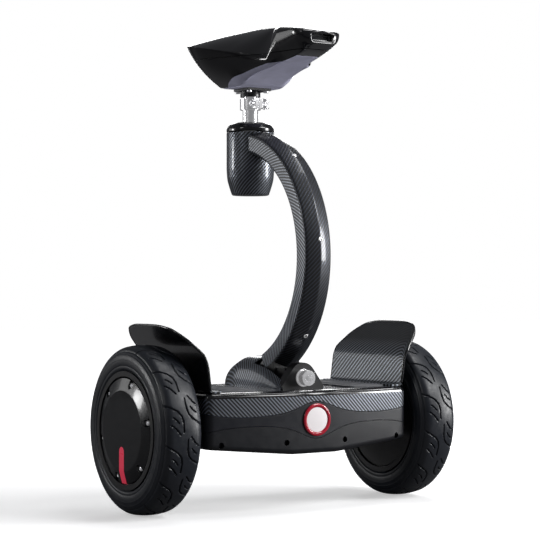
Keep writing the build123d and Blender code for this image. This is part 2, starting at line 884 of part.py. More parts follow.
def pivot_bolt():
    """Large socket cap bolt on the front end of the lean shaft."""
    start = bracket_front - 0.4
    face = start - 2 - bolt_head_length
    axis = pivot_height
    washer = rod((0, start - 2, axis), (0, start, axis), bolt_head_diameter + 4)
    head = rod((0, face, axis), (0, start - 1.5, axis), bolt_head_diameter)
    shank = rod((0, start - 1, axis), (0, bracket_front + 27, axis), 9.8)
    hexagon = RegularPolygon(6.5, 6)
    seat = Plane(origin=(0, face, axis), x_dir=(1, 0, 0), z_dir=(0, -1, 0))
    socket = extrude(seat * hexagon, -7)
    return washer + head + shank - socket


def upright(z_span, diameter):
    """Round bar on the seat post's axis."""
    low, high = z_span
    return rod((0, post_axis_y, low), (0, post_axis_y, high), diameter)


def post_turned(outline):
    """Turn a (radius, height) outline about the seat post's axis."""
    face = Plane.XZ * make_face(Polyline(*outline, close=True))
    return Pos(0, post_axis_y, 0) * revolve(face, Axis.Z, 360)


socket_floor = housing_bottom + shell_wall + 8
socket_top = housing_seam_height - 5
socket_outer = seat_tube_diameter + 13


def post_socket():
    """Socket that joins the stem tube to the seat tube."""
    low = housing_bottom + shell_wall
    body = upright((low, socket_top), socket_outer)
    lug_foot = stem_point(stem_inner_radius, 78)[1] + 5
    lug = block((-14, 14), (post_axis_y - 30, post_axis_y - 10), (lug_foot, socket_top - 6))
    bore = upright((socket_floor, socket_top + 1), seat_tube_diameter)
    return body + lug - bore - stem_tube_volume(stem_tube_diameter)


def housing_shell():
    """Barrel housing around the socket, cut out where the stem enters."""
    outer = housing_radius
    low = housing_bottom_diameter / 2
    taper_top = housing_bottom + housing_taper
    wall = shell_wall
    outline = [
        (0, housing_bottom), (low - 1.5, housing_bottom), (low, housing_bottom + 1.5), (outer, taper_top),
        (outer, housing_seam_height - 0.4), (outer - wall, housing_seam_height - 0.4),
        (outer - wall, taper_top + 0.5), (low - wall, housing_bottom + wall), (0, housing_bottom + wall),
    ]
    return post_turned(outline) - stem_volume(0.4, stem_head_angle - 30, stem_head_angle + 0.5)


def housing_collar():
    """Stepped top ring of the housing."""
    outer = housing_radius
    bore = seat_tube_diameter / 2
    low = housing_seam_height + 0.4
    outline = [
        (bore, low), (outer, low), (outer, low + 6), (outer - 4, housing_top - 4),
        (outer - 12, housing_top), (bore, housing_top),
    ]
    return post_turned(outline) - stem_volume(0.4, stem_head_angle - 30, stem_head_angle + 3)


clamp_top = clamp_bottom + clamp_height
seat_tube_bore = post_diameter + 2 * running_clearance


def seat_tube():
    """Chromed outer seat tube."""
    span = (socket_floor, clamp_top)
    return upright(span, seat_tube_diameter) - upright(span, seat_tube_bore)


ear_reach = clamp_diameter / 2 + 9
ear_half = 6.5
skewer_y = post_axis_y - clamp_diameter / 2 - 3.5
skewer_z = clamp_bottom + clamp_height / 2
lever_pin_diameter = 5.0
barrel_diameter = 15.0
barrel_half_height = 7.5
lever_pivot_x = ear_half + barrel_diameter / 2


def clamp_collar():
    """Split clamp ring with a pair of ears at the front."""
    ring = upright((clamp_bottom, clamp_top), clamp_diameter)
    ear_span = (post_axis_y - ear_reach, post_axis_y)
    ears = block((-ear_half, ear_half), ear_span, (clamp_bottom + 2, clamp_top - 2))
    slit = block((-1, 1), (post_axis_y - ear_reach - 1, post_axis_y), (clamp_bottom - 1, clamp_top + 1))
    hole_end = ear_half + 1
    hole_diameter = skewer_diameter + 2 * screw_clearance
    hole = rod((-hole_end, skewer_y, skewer_z), (hole_end, skewer_y, skewer_z), hole_diameter)
    return ring + ears - upright((clamp_bottom - 1, clamp_top + 1), seat_tube_diameter) - slit - hole


def clamp_skewer():
    """Skewer with its nut and the cross pin that the lever turns on."""
    shank = rod((-ear_half - 8, skewer_y, skewer_z), (lever_pivot_x, skewer_y, skewer_z), skewer_diameter)
    nut = rod((-ear_half - 6, skewer_y, skewer_z), (-ear_half, skewer_y, skewer_z), skewer_nut_diameter)
    axis = (lever_pivot_x, skewer_y)
    pin = rod((*axis, skewer_z - 9), (*axis, skewer_z + 9), lever_pin_diameter)
    return shank + nut + pin


def clamp_lever():
    """Quick-release lever: cam barrel with a flat handle along the side of the post."""
    low = skewer_z - barrel_half_height
    high = skewer_z + barrel_half_height
    centre = (lever_pivot_x, skewer_y)
    barrel = rod((*centre, low), (*centre, high), barrel_diameter)
    outside = lever_pivot_x + barrel_diameter / 2
    inside = outside - lever_thickness
    end = skewer_y + lever_length
    handle = block((inside, outside), (skewer_y, end), (low + 2, high - 2))
    middle = (inside + outside) / 2
    tip = rod((middle, end, low + 2), (middle, end, high - 2), lever_thickness)
    bore = rod((*centre, low - 1), (*centre, high + 1), lever_pin_diameter + 2 * running_clearance)
    half_slot = skewer_diameter / 2 + 0.4
    front = skewer_y - barrel_diameter / 2 - 1
    slot_height = (skewer_z - half_slot, skewer_z + half_slot)
    slot = block((0, lever_pivot_x + 3.5), (front, skewer_y + barrel_diameter), slot_height)
    open_slot = block((lever_pivot_x, outside + 1), (front, skewer_y - 0.3), slot_height)
    return barrel + handle + tip - bore - slot - open_slot


# ---------------------------------------------------------------- seat


def saddle_section(y, inset):
    """Closed outline across the saddle at y, drawn inside by inset."""
    half = along(saddle_plan, y) - inset
    rim_z = along(saddle_rim, y)
    crown = along(saddle_crown, y) - inset
    foot_half = min(along(saddle_foot_plan, y) - inset, half - 2)
    foot = along(saddle_foot, y) + inset
    side_x = (half + foot_half) / 2 + 4
    side_z = (rim_z + foot) / 2 - 5
    top = ThreePointArc((-half, rim_z), (0, crown), (half, rim_z))
    right = ThreePointArc((half, rim_z), (side_x, side_z), (foot_half, foot))
    bottom = Line((foot_half, foot), (-foot_half, foot))
    left = ThreePointArc((-foot_half, foot), (-side_x, side_z), (-half, rim_z))
    plane = Plane(origin=(0, y, 0), x_dir=(1, 0, 0), z_dir=(0, -1, 0))
    return plane * make_face([top, right, bottom, left])


def saddle_volume(inset):
    """The saddle's outside, or its inside when inset."""
    ends = len(saddle_stations) - 1
    sections = []
    for count, y in enumerate(saddle_stations):
        moved = y + inset if count == 0 else y - inset if count == ends else y
        sections.append(saddle_section(moved, inset))
    return loft(sections, ruled=True)


def saddle_side(low, high):
    """A slab of space across the saddle between two heights."""
    return block((-150, 150), (-200, 220), (low, high))


recess_width = 38.0
recess_low = 722.0


def saddle_pad(volume):
    """Soft upper pad with a finger recess under its nose."""
    pad = volume & saddle_side(saddle_seam_height + seam / 2, 800)
    nose = saddle_stations[0]
    half = recess_width / 2
    recess = block((-half, half), (nose - 5, nose + 9), (recess_low, recess_low + 12))
    return pad - recess


def saddle_base():
    """Plate under the saddle that carries the clamp."""
    sections = []
    highest = saddle_seam_height - saddle_base_thickness
    for y in [y for y in saddle_stations if along(saddle_foot, y) < highest]:
        half = min(along(saddle_foot_plan, y), along(saddle_plan, y)) - 2
        foot = along(saddle_foot, y) - saddle_base_drop
        top = foot + saddle_base_thickness
        outline = Polyline((-half, foot), (half, foot), (half, top), (-half, top), close=True)
        plane = Plane(origin=(0, y, 0), x_dir=(1, 0, 0), z_dir=(0, -1, 0))
        sections.append(plane * make_face(outline))
    return loft(sections, ruled=True)


def saddle_shell(volume, base):
    """Lower shell under the pad, open below where the base plate sits."""
    lower = volume & saddle_side(600, saddle_seam_height - seam / 2)
    return lower - saddle_volume(saddle_wall) - base


def saddle_clamp_level():
    """Underside of the saddle's plate at the post."""
    return along(saddle_foot, post_axis_y) - saddle_base_drop


def saddle_screw_rods(low, high, diameter):
    """Upright bars at the saddle's fixing screws."""
    level = saddle_clamp_level()
    bars = []
    for x in (-16, 16):
        for y in (post_axis_y - 22, post_axis_y + 14):
            bars.append(rod((x, y, level + low), (x, y, level + high), diameter))
    return bars


def saddle_clamp():
    """Clamp head that joins the post to the saddle plate."""
    level = saddle_clamp_level()
    body = upright((saddle_clamp_bottom, level), saddle_clamp_diameter)
    flange = block((-22, 22), (post_axis_y - 28, post_axis_y + 16), (level - 4, level))
    bore = upright((saddle_clamp_bottom - 1, level), post_diameter)
    return body + flange - bore - saddle_screw_rods(-6, 1, 5 + 2 * screw_clearance)


def saddle_screws():
    """Screws through the clamp head into the saddle plate."""
    heads = saddle_screw_rods(-7, -4, 8.5)
    shanks = saddle_screw_rods(-4.5, 3.5, 5)
    return Part() + [head + shank for head, shank in zip(heads, shanks)]


def seat_post():
    """Inner seat post that slides in the seat tube."""
    return upright((post_bottom, saddle_clamp_level()), post_diameter)


# ---------------------------------------------------------------- write every node


def write_wheels():
    """Both wheels, the left one mirrored from the right."""
    pieces = {
        "tyre": tyre(), "rim": rim(), "hub_cover": hub_cover(), "hub_screws": hub_screws(),
        "motor_cover": motor_cover(), "bearings": bearings(), "magnet_ring": magnet_ring(),
    }
    for name, shape in pieces.items():
        write(f"right_{name}", shape)
        write(f"left_{name}", mirror(shape, about=Plane.YZ))
    write("wheel_axles", both_sides(wheel_axle()))
    write("motor_stators", both_sides(stator()))


def write_chassis():
    """Body shells, frame, pivot bracket and everything inside."""
    outside = body_volume(0)
    shell = outside - body_volume(shell_wall)
    write("deck_cover", deck_cover(shell))
    write("mid_band", mid_band(shell))
    write("belly_pan", belly_pan(shell, outside))
    write("belly_screws", belly_screws())
    write("chassis_frame", chassis_frame())
    write("axle_clamps", axle_clamps())
    for name, maker in (("foot_mat", foot_mat), ("fender", fender)):
        shape = maker()
        write(f"right_{name}", shape)
        write(f"left_{name}", mirror(shape, about=Plane.YZ))
    write("badge_bezel", badge_bezel())
    write("badge_lens", badge_lens())
    write("pivot_bracket", pivot_bracket())
    write("bracket_screws", bracket_screws())
    write("pivot_bushes", pivot_bushes())
    write("lean_stops", lean_stops())
    write("stem_cowl", stem_cowl())
    write("battery_pack", battery_pack())
    write("control_board", control_board())
    write("tail_light", tail_light())
    write("charge_socket", charge_socket())
    write("charge_cap", charge_cap())
    write("power_button", power_button())


def write_stem():
    """Leaning stem with its housing, seat tube and clamp."""
    write("stem_tube", stem_tube())
    write("stem_rear_cover", stem_rear_cover())
    write("stem_front_cover", stem_front_cover())
    write("stem_cover_screws", stem_cover_screws())
    write("stem_foot", stem_foot())
    write("foot_screws", foot_screws())
    write("pivot_bolt", pivot_bolt())
    write("post_socket", post_socket())
    write("housing_shell", housing_shell())
    write("housing_collar", housing_collar())
    write("seat_tube", seat_tube())
    write("clamp_collar", clamp_collar())
    write("clamp_skewer", clamp_skewer())
    write("clamp_lever", clamp_lever())


def write_seat():
    """Sliding post and the saddle on it."""
    volume = saddle_volume(0)
    base = saddle_base()
    write("seat_post", seat_post())
    write("saddle_clamp", saddle_clamp())
    write("saddle_base", base - saddle_screw_rods(-1, 6, 5 + 2 * screw_clearance))
    write("saddle_shell", saddle_shell(volume, base))
    write("saddle_pad", saddle_pad(volume))
    write("saddle_screws", saddle_screws())


write_wheels()
write_chassis()
write_stem()
write_seat()
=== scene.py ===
"""Looks of a seated two-wheel self-balancing scooter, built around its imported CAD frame.

Every length is in metres in the frame's own axes: X along the axle, -Y to the front, Z up.
"""

import logging
import math
from collections.abc import Callable, Sequence
from dataclasses import dataclass, field
from enum import Enum

import bmesh
import bpy
import numpy as np
from mathutils import Matrix, Vector

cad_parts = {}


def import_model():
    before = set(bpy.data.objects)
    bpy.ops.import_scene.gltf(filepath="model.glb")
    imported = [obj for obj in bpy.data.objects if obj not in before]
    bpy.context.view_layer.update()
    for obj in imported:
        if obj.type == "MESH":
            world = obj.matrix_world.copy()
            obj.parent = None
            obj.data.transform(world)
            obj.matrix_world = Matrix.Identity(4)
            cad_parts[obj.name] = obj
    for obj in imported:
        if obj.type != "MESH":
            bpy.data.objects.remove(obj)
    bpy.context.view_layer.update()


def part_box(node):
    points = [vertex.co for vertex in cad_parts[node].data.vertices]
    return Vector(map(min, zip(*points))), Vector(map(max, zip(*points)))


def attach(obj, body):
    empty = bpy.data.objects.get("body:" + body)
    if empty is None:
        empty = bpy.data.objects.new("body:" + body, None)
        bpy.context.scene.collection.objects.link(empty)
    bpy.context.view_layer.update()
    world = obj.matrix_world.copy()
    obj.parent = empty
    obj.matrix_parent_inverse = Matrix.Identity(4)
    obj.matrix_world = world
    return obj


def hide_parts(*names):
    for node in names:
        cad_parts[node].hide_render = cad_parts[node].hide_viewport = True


log = logging.getLogger("scooter")
Colour = tuple[float, float, float]
Spot = tuple[float, float, float]
Placer = Callable[[np.ndarray, np.ndarray, np.ndarray], np.ndarray]
MM = 0.001
WEAVE = "weave"


class Side(Enum):
    """Which wheel or fender a piece belongs to, and the sign of its X."""

    LEFT = -1
    RIGHT = 1

    @property
    def word(self) -> str:
        """Name used in the frame's nodes."""
        return self.name.lower()


# ------------------------------------------------------------------ materials


@dataclass
class Nodes:
    """Short calls for wiring one material's node tree."""

    material: bpy.types.Material

    def __post_init__(self) -> None:
        """Start from an empty tree with one shader and its output."""
        self.material.use_nodes = True
        self.tree = self.material.node_tree
        self.tree.nodes.clear()
        self.shader = self.add("ShaderNodeBsdfPrincipled")
        output = self.add("ShaderNodeOutputMaterial")
        self.link(self.shader.outputs["BSDF"], output.inputs["Surface"])

    def add(self, kind: str, **settings: object) -> bpy.types.Node:
        """Add a node and set its properties.

        Args:
            kind: Blender's name of the node type.
            settings: Properties to set on the node.

        Returns:
            The new node.
        """
        node = self.tree.nodes.new(kind)
        for key, value in settings.items():
            setattr(node, key, value)
        return node

    def link(self, source: bpy.types.NodeSocket, target: bpy.types.NodeSocket) -> None:
        """Connect one output to one input."""
        self.tree.links.new(source, target)

    def feed(self, socket: bpy.types.NodeSocket, value: object) -> None:
        """Give an input a constant or a link."""
        if isinstance(value, bpy.types.NodeSocket):
            self.link(value, socket)
        else:
            socket.default_value = value

    def math(self, operation: str, first: object, second: object = 0.0) -> bpy.types.NodeSocket:
        """One arithmetic step.

        Args:
            operation: Name of the operation.
            first: First number or output.
            second: Second number or output.

        Returns:
            The result's output.
        """
        node = self.add("ShaderNodeMath", operation=operation)
        self.feed(node.inputs[0], first)
        self.feed(node.inputs[1], second)
        return node.outputs[0]

    def place(self) -> bpy.types.NodeSocket:
        """Position on the piece, in metres."""
        return self.add("ShaderNodeTexCoord").outputs["Object"]

    def noise(self, scale: float, detail: float = 3.0, stretch: Spot = (1, 1, 1)) -> bpy.types.NodeSocket:
        """Smooth random value on the piece.

        Args:
            scale: Bumps for each metre.
            detail: Finer layers of noise.
            stretch: Share of the scale along X, Y and Z.

        Returns:
            The noise factor.
        """
        mapping = self.add("ShaderNodeMapping")
        mapping.inputs["Scale"].default_value = stretch
        self.link(self.place(), mapping.inputs["Vector"])
        node = self.add("ShaderNodeTexNoise")
        self.link(mapping.outputs["Vector"], node.inputs["Vector"])
        node.inputs["Scale"].default_value = scale
        node.inputs["Detail"].default_value = detail
        return node.outputs["Fac"]

    def spread(self, value: bpy.types.NodeSocket, low: float, high: float) -> bpy.types.NodeSocket:
        """Map a noise value onto a range of numbers.

        Args:
            value: The noise factor, around a half.
            low: Result at the noise's low end.
            high: Result at the noise's high end.

        Returns:
            The mapped output.
        """
        node = self.add("ShaderNodeMapRange")
        self.link(value, node.inputs["Value"])
        node.inputs["From Min"].default_value = 0.3
        node.inputs["From Max"].default_value = 0.7
        node.inputs["To Min"].default_value = low
        node.inputs["To Max"].default_value = high
        return node.outputs["Result"]

    def blend(self, factor: bpy.types.NodeSocket, first: Colour, second: Colour) -> bpy.types.NodeSocket:
        """Mix two colours.

        Args:
            factor: Share of the second colour.
            first: Colour at zero.
            second: Colour at one.

        Returns:
            The mixed colour.
        """
        node = self.add("ShaderNodeMix", data_type="RGBA")
        self.link(factor, node.inputs["Factor"])
        node.inputs["A"].default_value = (*first, 1)
        node.inputs["B"].default_value = (*second, 1)
        return node.outputs["Result"]

    def bump(self, height: bpy.types.NodeSocket, strength: float, distance: float) -> None:
        """Tilt the surface by a height.

        Args:
            height: The height's output.
            strength: Share of the full tilt.
            distance: Metres that a height of one stands up.
        """
        node = self.add("ShaderNodeBump")
        node.inputs["Strength"].default_value = strength
        node.inputs["Distance"].default_value = distance
        self.link(height, node.inputs["Height"])
        self.link(node.outputs["Normal"], self.shader.inputs["Normal"])

    def constants(self, **values: float) -> None:
        """Set plain numbers on the shader's own sockets, named with underscores."""
        for key, value in values.items():
            self.shader.inputs[key.replace("_", " ").title().replace("Ior", "IOR")].default_value = value


def tinted(colour: Colour, factor: float) -> Colour:
    """A lighter or darker version of a colour."""
    return tuple(min(1.0, channel * factor) for channel in colour)


@dataclass(frozen=True)
class Finish:
    """A plain moulded, painted or machined finish with fine grain."""

    name: str
    colour: Colour
    roughness: float = 0.4
    metallic: float = 0.0
    coat: float = 0.0
    variation: float = 0.12
    grain: float = 1800.0
    grain_depth: float = 0.15
    stretch: Spot = (1, 1, 1)
    # glow: the finish shines by itself in its own colour; where it is set, this is painted light.
    glow: float = 0.0

    def build(self) -> bpy.types.Material:
        """Make the material.

        Returns:
            A material with its own node tree.
        """
        material = bpy.data.materials.new(self.name)
        nodes = Nodes(material)
        cloud = nodes.noise(35.0, 4.0)
        low = tinted(self.colour, 1 - self.variation)
        high = tinted(self.colour, 1 + self.variation)
        nodes.link(nodes.blend(nodes.spread(cloud, 0.0, 1.0), low, high), nodes.shader.inputs["Base Color"])
        smear = nodes.noise(90.0, 5.0, self.stretch)
        rough = nodes.spread(smear, self.roughness * 0.88, self.roughness * 1.14)
        nodes.link(rough, nodes.shader.inputs["Roughness"])
        nodes.bump(nodes.noise(self.grain, 2.0, self.stretch), self.grain_depth, 0.0002)
        nodes.constants(metallic=self.metallic, coat_weight=self.coat, coat_roughness=0.06)
        # Emission in the finish's own colour: painted light wherever glow is set.
        nodes.constants(emission_strength=self.glow)
        nodes.shader.inputs["Emission Color"].default_value = (*self.colour, 1)
        return material


@dataclass(frozen=True)
class CarbonFinish:
    """Two-by-two twill film under clear gloss, on the piece's own weave map."""

    name: str
    dark: Colour
    light: Colour
    tow: float = 1.6 * MM
    sheen_metal: float = 0.75
    roughness: float = 0.34
    gap_roughness: float = 0.14
    fade: tuple[float, float] | None = None

    def build(self) -> bpy.types.Material:
        """Make the woven material.

        Returns:
            A material that reads the weave map, in metres.
        """
        material = bpy.data.materials.new(self.name)
        nodes = Nodes(material)
        uv = nodes.add("ShaderNodeUVMap", uv_map=WEAVE)
        split = nodes.add("ShaderNodeSeparateXYZ")
        nodes.link(uv.outputs["UV"], split.inputs["Vector"])
        across = nodes.math("DIVIDE", split.outputs["X"], self.tow)
        along = nodes.math("DIVIDE", split.outputs["Y"], self.tow)
        cell = nodes.math("SUBTRACT", nodes.math("FLOOR", across), nodes.math("FLOOR", along))
        slope = nodes.math("SUBTRACT", across, along)
        mixed = nodes.math("ADD", nodes.math("MULTIPLY", slope, 0.7), nodes.math("MULTIPLY", cell, 0.3))
        wave = nodes.math("COSINE", nodes.math("MULTIPLY", mixed, math.pi / 2))
        band = nodes.add("ShaderNodeMapRange", interpolation_type="SMOOTHSTEP")
        nodes.link(wave, band.inputs["Value"])
        band.inputs["From Min"].default_value = -0.1
        band.inputs["From Max"].default_value = 0.8
        over = band.outputs["Result"]
        if self.fade:
            share = self.faded(nodes)
            over = nodes.math("MULTIPLY", over, share)
            wave = nodes.math("MULTIPLY", wave, share)
        fibre = nodes.spread(nodes.noise(2600.0, 2.0), 0.85, 1.1)
        shine = nodes.math("MULTIPLY", fibre, over)
        nodes.link(nodes.blend(shine, self.dark, self.light), nodes.shader.inputs["Base Color"])
        nodes.link(nodes.math("MULTIPLY", over, self.sheen_metal), nodes.shader.inputs["Metallic"])
        smoother = nodes.math("MULTIPLY", over, self.gap_roughness)
        rough = nodes.math("SUBTRACT", self.roughness + self.gap_roughness, smoother)
        nodes.link(rough, nodes.shader.inputs["Roughness"])
        nodes.bump(wave, 0.35, 0.00025)
        nodes.constants(coat_weight=0.5, coat_roughness=0.09)
        return material

    def faded(self, nodes: Nodes) -> bpy.types.NodeSocket:
        """Share of the weave that shows, less with height."""
        split = nodes.add("ShaderNodeSeparateXYZ")
        nodes.link(nodes.place(), split.inputs["Vector"])
        share = nodes.add("ShaderNodeMapRange", interpolation_type="SMOOTHSTEP")
        nodes.link(split.outputs["Z"], share.inputs["Value"])
        share.inputs["From Min"].default_value = self.fade[0]
        share.inputs["From Max"].default_value = self.fade[1]
        share.inputs["To Min"].default_value = 1.0
        share.inputs["To Max"].default_value = 0.06
        return share.outputs["Result"]


@dataclass(frozen=True)
class RubberFinish:
    """Tyre rubber with moulding speckle, faint dust and a soft sheen."""

    name: str
    colour: Colour
    dust: Colour = (0.16, 0.155, 0.15)
    roughness: float = 0.5

    def build(self) -> bpy.types.Material:
        """Make the rubber.

        Returns:
            The rubber material.
        """
        material = bpy.data.materials.new(self.name)
        nodes = Nodes(material)
        dusty = nodes.spread(nodes.noise(26.0, 6.0), 0.0, 0.06)
        nodes.link(nodes.blend(dusty, self.colour, self.dust), nodes.shader.inputs["Base Color"])
        rough = nodes.spread(nodes.noise(160.0, 4.0), self.roughness - 0.06, self.roughness + 0.1)
        nodes.link(rough, nodes.shader.inputs["Roughness"])
        nodes.bump(nodes.noise(1400.0, 3.0), 0.3, 0.0002)
        return material


@dataclass(frozen=True)
class TwoToneFinish:
    """Gloss black shell with a matt pale belly below a curved line."""

    name: str
    upper: Colour
    lower: Colour
    middle: float = 20 * MM
    level: float = 686 * MM
    slope: float = -0.2366
    bend: float = -1.11
    edge: float = 0.35 * MM

    def build(self) -> bpy.types.Material:
        """Make the material.

        Returns:
            A material that changes along the line, in object coordinates.
        """
        material = bpy.data.materials.new(self.name)
        nodes = Nodes(material)
        split = nodes.add("ShaderNodeSeparateXYZ")
        nodes.link(nodes.place(), split.inputs["Vector"])
        run = nodes.math("SUBTRACT", split.outputs["Y"], self.middle)
        steepness = nodes.math("ADD", nodes.math("MULTIPLY", run, self.bend), self.slope)
        rise = nodes.math("MULTIPLY", run, steepness)
        over = nodes.math("SUBTRACT", nodes.math("SUBTRACT", split.outputs["Z"], self.level), rise)
        share = nodes.add("ShaderNodeMapRange", interpolation_type="SMOOTHSTEP")
        nodes.link(over, share.inputs["Value"])
        share.inputs["From Min"].default_value = -self.edge
        share.inputs["From Max"].default_value = self.edge
        upper = share.outputs["Result"]
        grain = nodes.noise(1800.0, 3.0)
        tone = nodes.spread(grain, 0.92, 1.06)
        colour = nodes.blend(upper, self.lower, self.upper)
        scaled = nodes.add("ShaderNodeVectorMath", operation="SCALE")
        nodes.link(colour, scaled.inputs[0])
        nodes.link(tone, scaled.inputs["Scale"])
        nodes.link(scaled.outputs["Vector"], nodes.shader.inputs["Base Color"])
        rough = nodes.math("SUBTRACT", 0.55, nodes.math("MULTIPLY", upper, 0.35))
        nodes.link(rough, nodes.shader.inputs["Roughness"])
        nodes.link(nodes.math("MULTIPLY", upper, 0.6), nodes.shader.inputs["Coat Weight"])
        nodes.bump(grain, 0.1, 0.0001)
        return material


@dataclass(frozen=True)
class LensFinish:
    """Pearl reflector face with a fine prism pattern under the surface and a painted glow, though it is no
    lamp.
    """

    name: str
    colour: Colour
    cell: float = 2.2 * MM
    # glow: the lens shines by itself though it is no lamp, a painted glow.
    glow: float = 0.32

    def build(self) -> bpy.types.Material:
        """Make the lens.

        Returns:
            The reflector material.
        """
        material = bpy.data.materials.new(self.name)
        nodes = Nodes(material)
        cells = nodes.add("ShaderNodeTexVoronoi", feature="F1")
        nodes.link(nodes.place(), cells.inputs["Vector"])
        cells.inputs["Scale"].default_value = 1 / self.cell
        cells.inputs["Randomness"].default_value = 0.0
        tone = nodes.math("MULTIPLY", cells.outputs["Distance"], 0.7)
        shade = nodes.blend(tone, tinted(self.colour, 1.04), tinted(self.colour, 0.82))
        nodes.link(shade, nodes.shader.inputs["Base Color"])
        nodes.bump(cells.outputs["Distance"], 0.25, 0.0004)
        # Emission in the lens colour: the painted glow.
        nodes.constants(roughness=0.22, coat_weight=0.9, coat_roughness=0.04, emission_strength=self.glow)
        nodes.link(shade, nodes.shader.inputs["Emission Color"])
        return material


RESIN_BLACK: Colour = (0.004, 0.0045, 0.006)
GLOSS_BLACK: Colour = (0.005, 0.005, 0.0065)
VIOLET_GREY: Colour = (0.62, 0.62, 0.80)


class Paint(Enum):
    """Every finish of the scooter."""

    CARBON = CarbonFinish("carbon_film", RESIN_BLACK, (0.25, 0.275, 0.325))
    # Painted light: a lighter copy of the carbon film for the stem's rear cover, whose side catches the
    # lamps.
    CARBON_LIGHT = CarbonFinish("carbon_film_light", (0.005, 0.006, 0.009), (0.27, 0.29, 0.33))
    # Painted shade: a darker copy of the carbon film for the stem's front strip, which faces away from the
    # lamps.
    CARBON_DARK = CarbonFinish("carbon_film_dark", (0.002, 0.0025, 0.004), (0.075, 0.083, 0.105))
    CARBON_FENDER = CarbonFinish("carbon_film_fender", RESIN_BLACK, (0.30, 0.33, 0.38), sheen_metal=0.7,
                                 fade=(0.236, 0.262))
    GLOSS = Finish("gloss_black", GLOSS_BLACK, 0.2, coat=0.7, grain_depth=0.03)
    SEAT = Finish("seat_gloss", GLOSS_BLACK, 0.2, coat=0.6, grain=900, grain_depth=0.04)
    HUB = Finish("hub_black", RESIN_BLACK, 0.24, coat=0.35, grain_depth=0.03)
    SATIN_GREY = Finish("satin_grey", (0.0085, 0.0095, 0.0145), 0.4, grain=2400, grain_depth=0.3)
    SATIN_BLACK = Finish("satin_black", (0.0085, 0.0092, 0.0125), 0.42, grain=2400, grain_depth=0.3)
    # glow on the plate: painted light that lifts its underside out of the saddle's shade.
    PLATE = Finish("violet_grey", VIOLET_GREY, 0.55, grain=2000, grain_depth=0.25, glow=0.07)
    POWDER = Finish("powder_black", (0.006, 0.006, 0.007), 0.38, coat=0.2, grain=1500, grain_depth=0.3)
    DARK_STEEL = Finish("oxide_steel", (0.06, 0.06, 0.066), 0.35, metallic=0.9)
    # glow on the steel: a painted highlight that brightens every steel part.
    STEEL = Finish("turned_steel", (0.82, 0.82, 0.84), 0.34, metallic=1.0, stretch=(1, 1, 6), glow=0.1)
    # glow on the chrome: a painted highlight that brightens every chrome part.
    CHROME = Finish("polished_chrome", (0.88, 0.88, 0.89), 0.24, metallic=1.0, variation=0.03,
                    grain_depth=0.02, glow=0.16)
    ALLOY = Finish("cast_alloy", (0.42, 0.42, 0.44), 0.48, metallic=0.95, grain=1200, grain_depth=0.4)
    BRONZE = Finish("sintered_bronze", (0.45, 0.29, 0.12), 0.42, metallic=0.95, grain_depth=0.35)
    LAMINATE = Finish("stator_laminate", (0.20, 0.12, 0.07), 0.5, metallic=0.6, stretch=(40, 1, 1))
    WRAP = Finish("blue_wrap", (0.03, 0.08, 0.28), 0.38, variation=0.2)
    BOARD = Finish("green_board", (0.02, 0.13, 0.06), 0.4, variation=0.25)
    MAT = RubberFinish("mat_rubber", (0.075, 0.078, 0.088), roughness=0.6)
    SOFT = RubberFinish("soft_rubber", (0.014, 0.014, 0.015))
    TYRE = RubberFinish("tyre_rubber", (0.011, 0.014, 0.021), roughness=0.36)
    RED = Finish("red_gloss", (0.48, 0.008, 0.03), 0.22, coat=0.8, grain_depth=0.03)
    # glow on the stripe: painted light, so the stripe reads as lit on the weakly lit hub disc.
    STRIPE = Finish("red_stripe", (0.95, 0.05, 0.11), 0.3, coat=0.5, grain_depth=0.03, glow=0.22)
    LAMP = Finish("lamp_red", (0.30, 0.006, 0.008), 0.12, coat=1.0, grain=700, grain_depth=0.25)
    SHELL = TwoToneFinish("saddle_shell", GLOSS_BLACK, VIOLET_GREY)
    # The pearl lens keeps the lens finish's painted glow.
    PEARL = LensFinish("pearl_lens", (0.86, 0.82, 0.83))


class Palette:
    """Makes each material once and hands it out."""

    def __init__(self) -> None:
        """Start with nothing made."""
        self.made: dict[Paint, bpy.types.Material] = {}

    def get(self, paint: Paint) -> bpy.types.Material:
        """The material of a paint, made on first use."""
        if paint not in self.made:
            self.made[paint] = paint.value.build()
        return self.made[paint]


PALETTE = Palette()


# ------------------------------------------------------------------ mesh tools


@dataclass(frozen=True)
class Patch:
    """A grid of points with its weave map, both in metres."""

    points: np.ndarray
    weave: np.ndarray


def grid_faces(index: np.ndarray) -> list[tuple[int, ...]]:
    """Four-sided faces between the neighbours in a grid of vertex numbers."""
    quads = np.stack([index[:-1, :-1], index[1:, :-1], index[1:, 1:], index[:-1, 1:]], -1)
    return list(map(tuple, quads.reshape(-1, 4).tolist()))


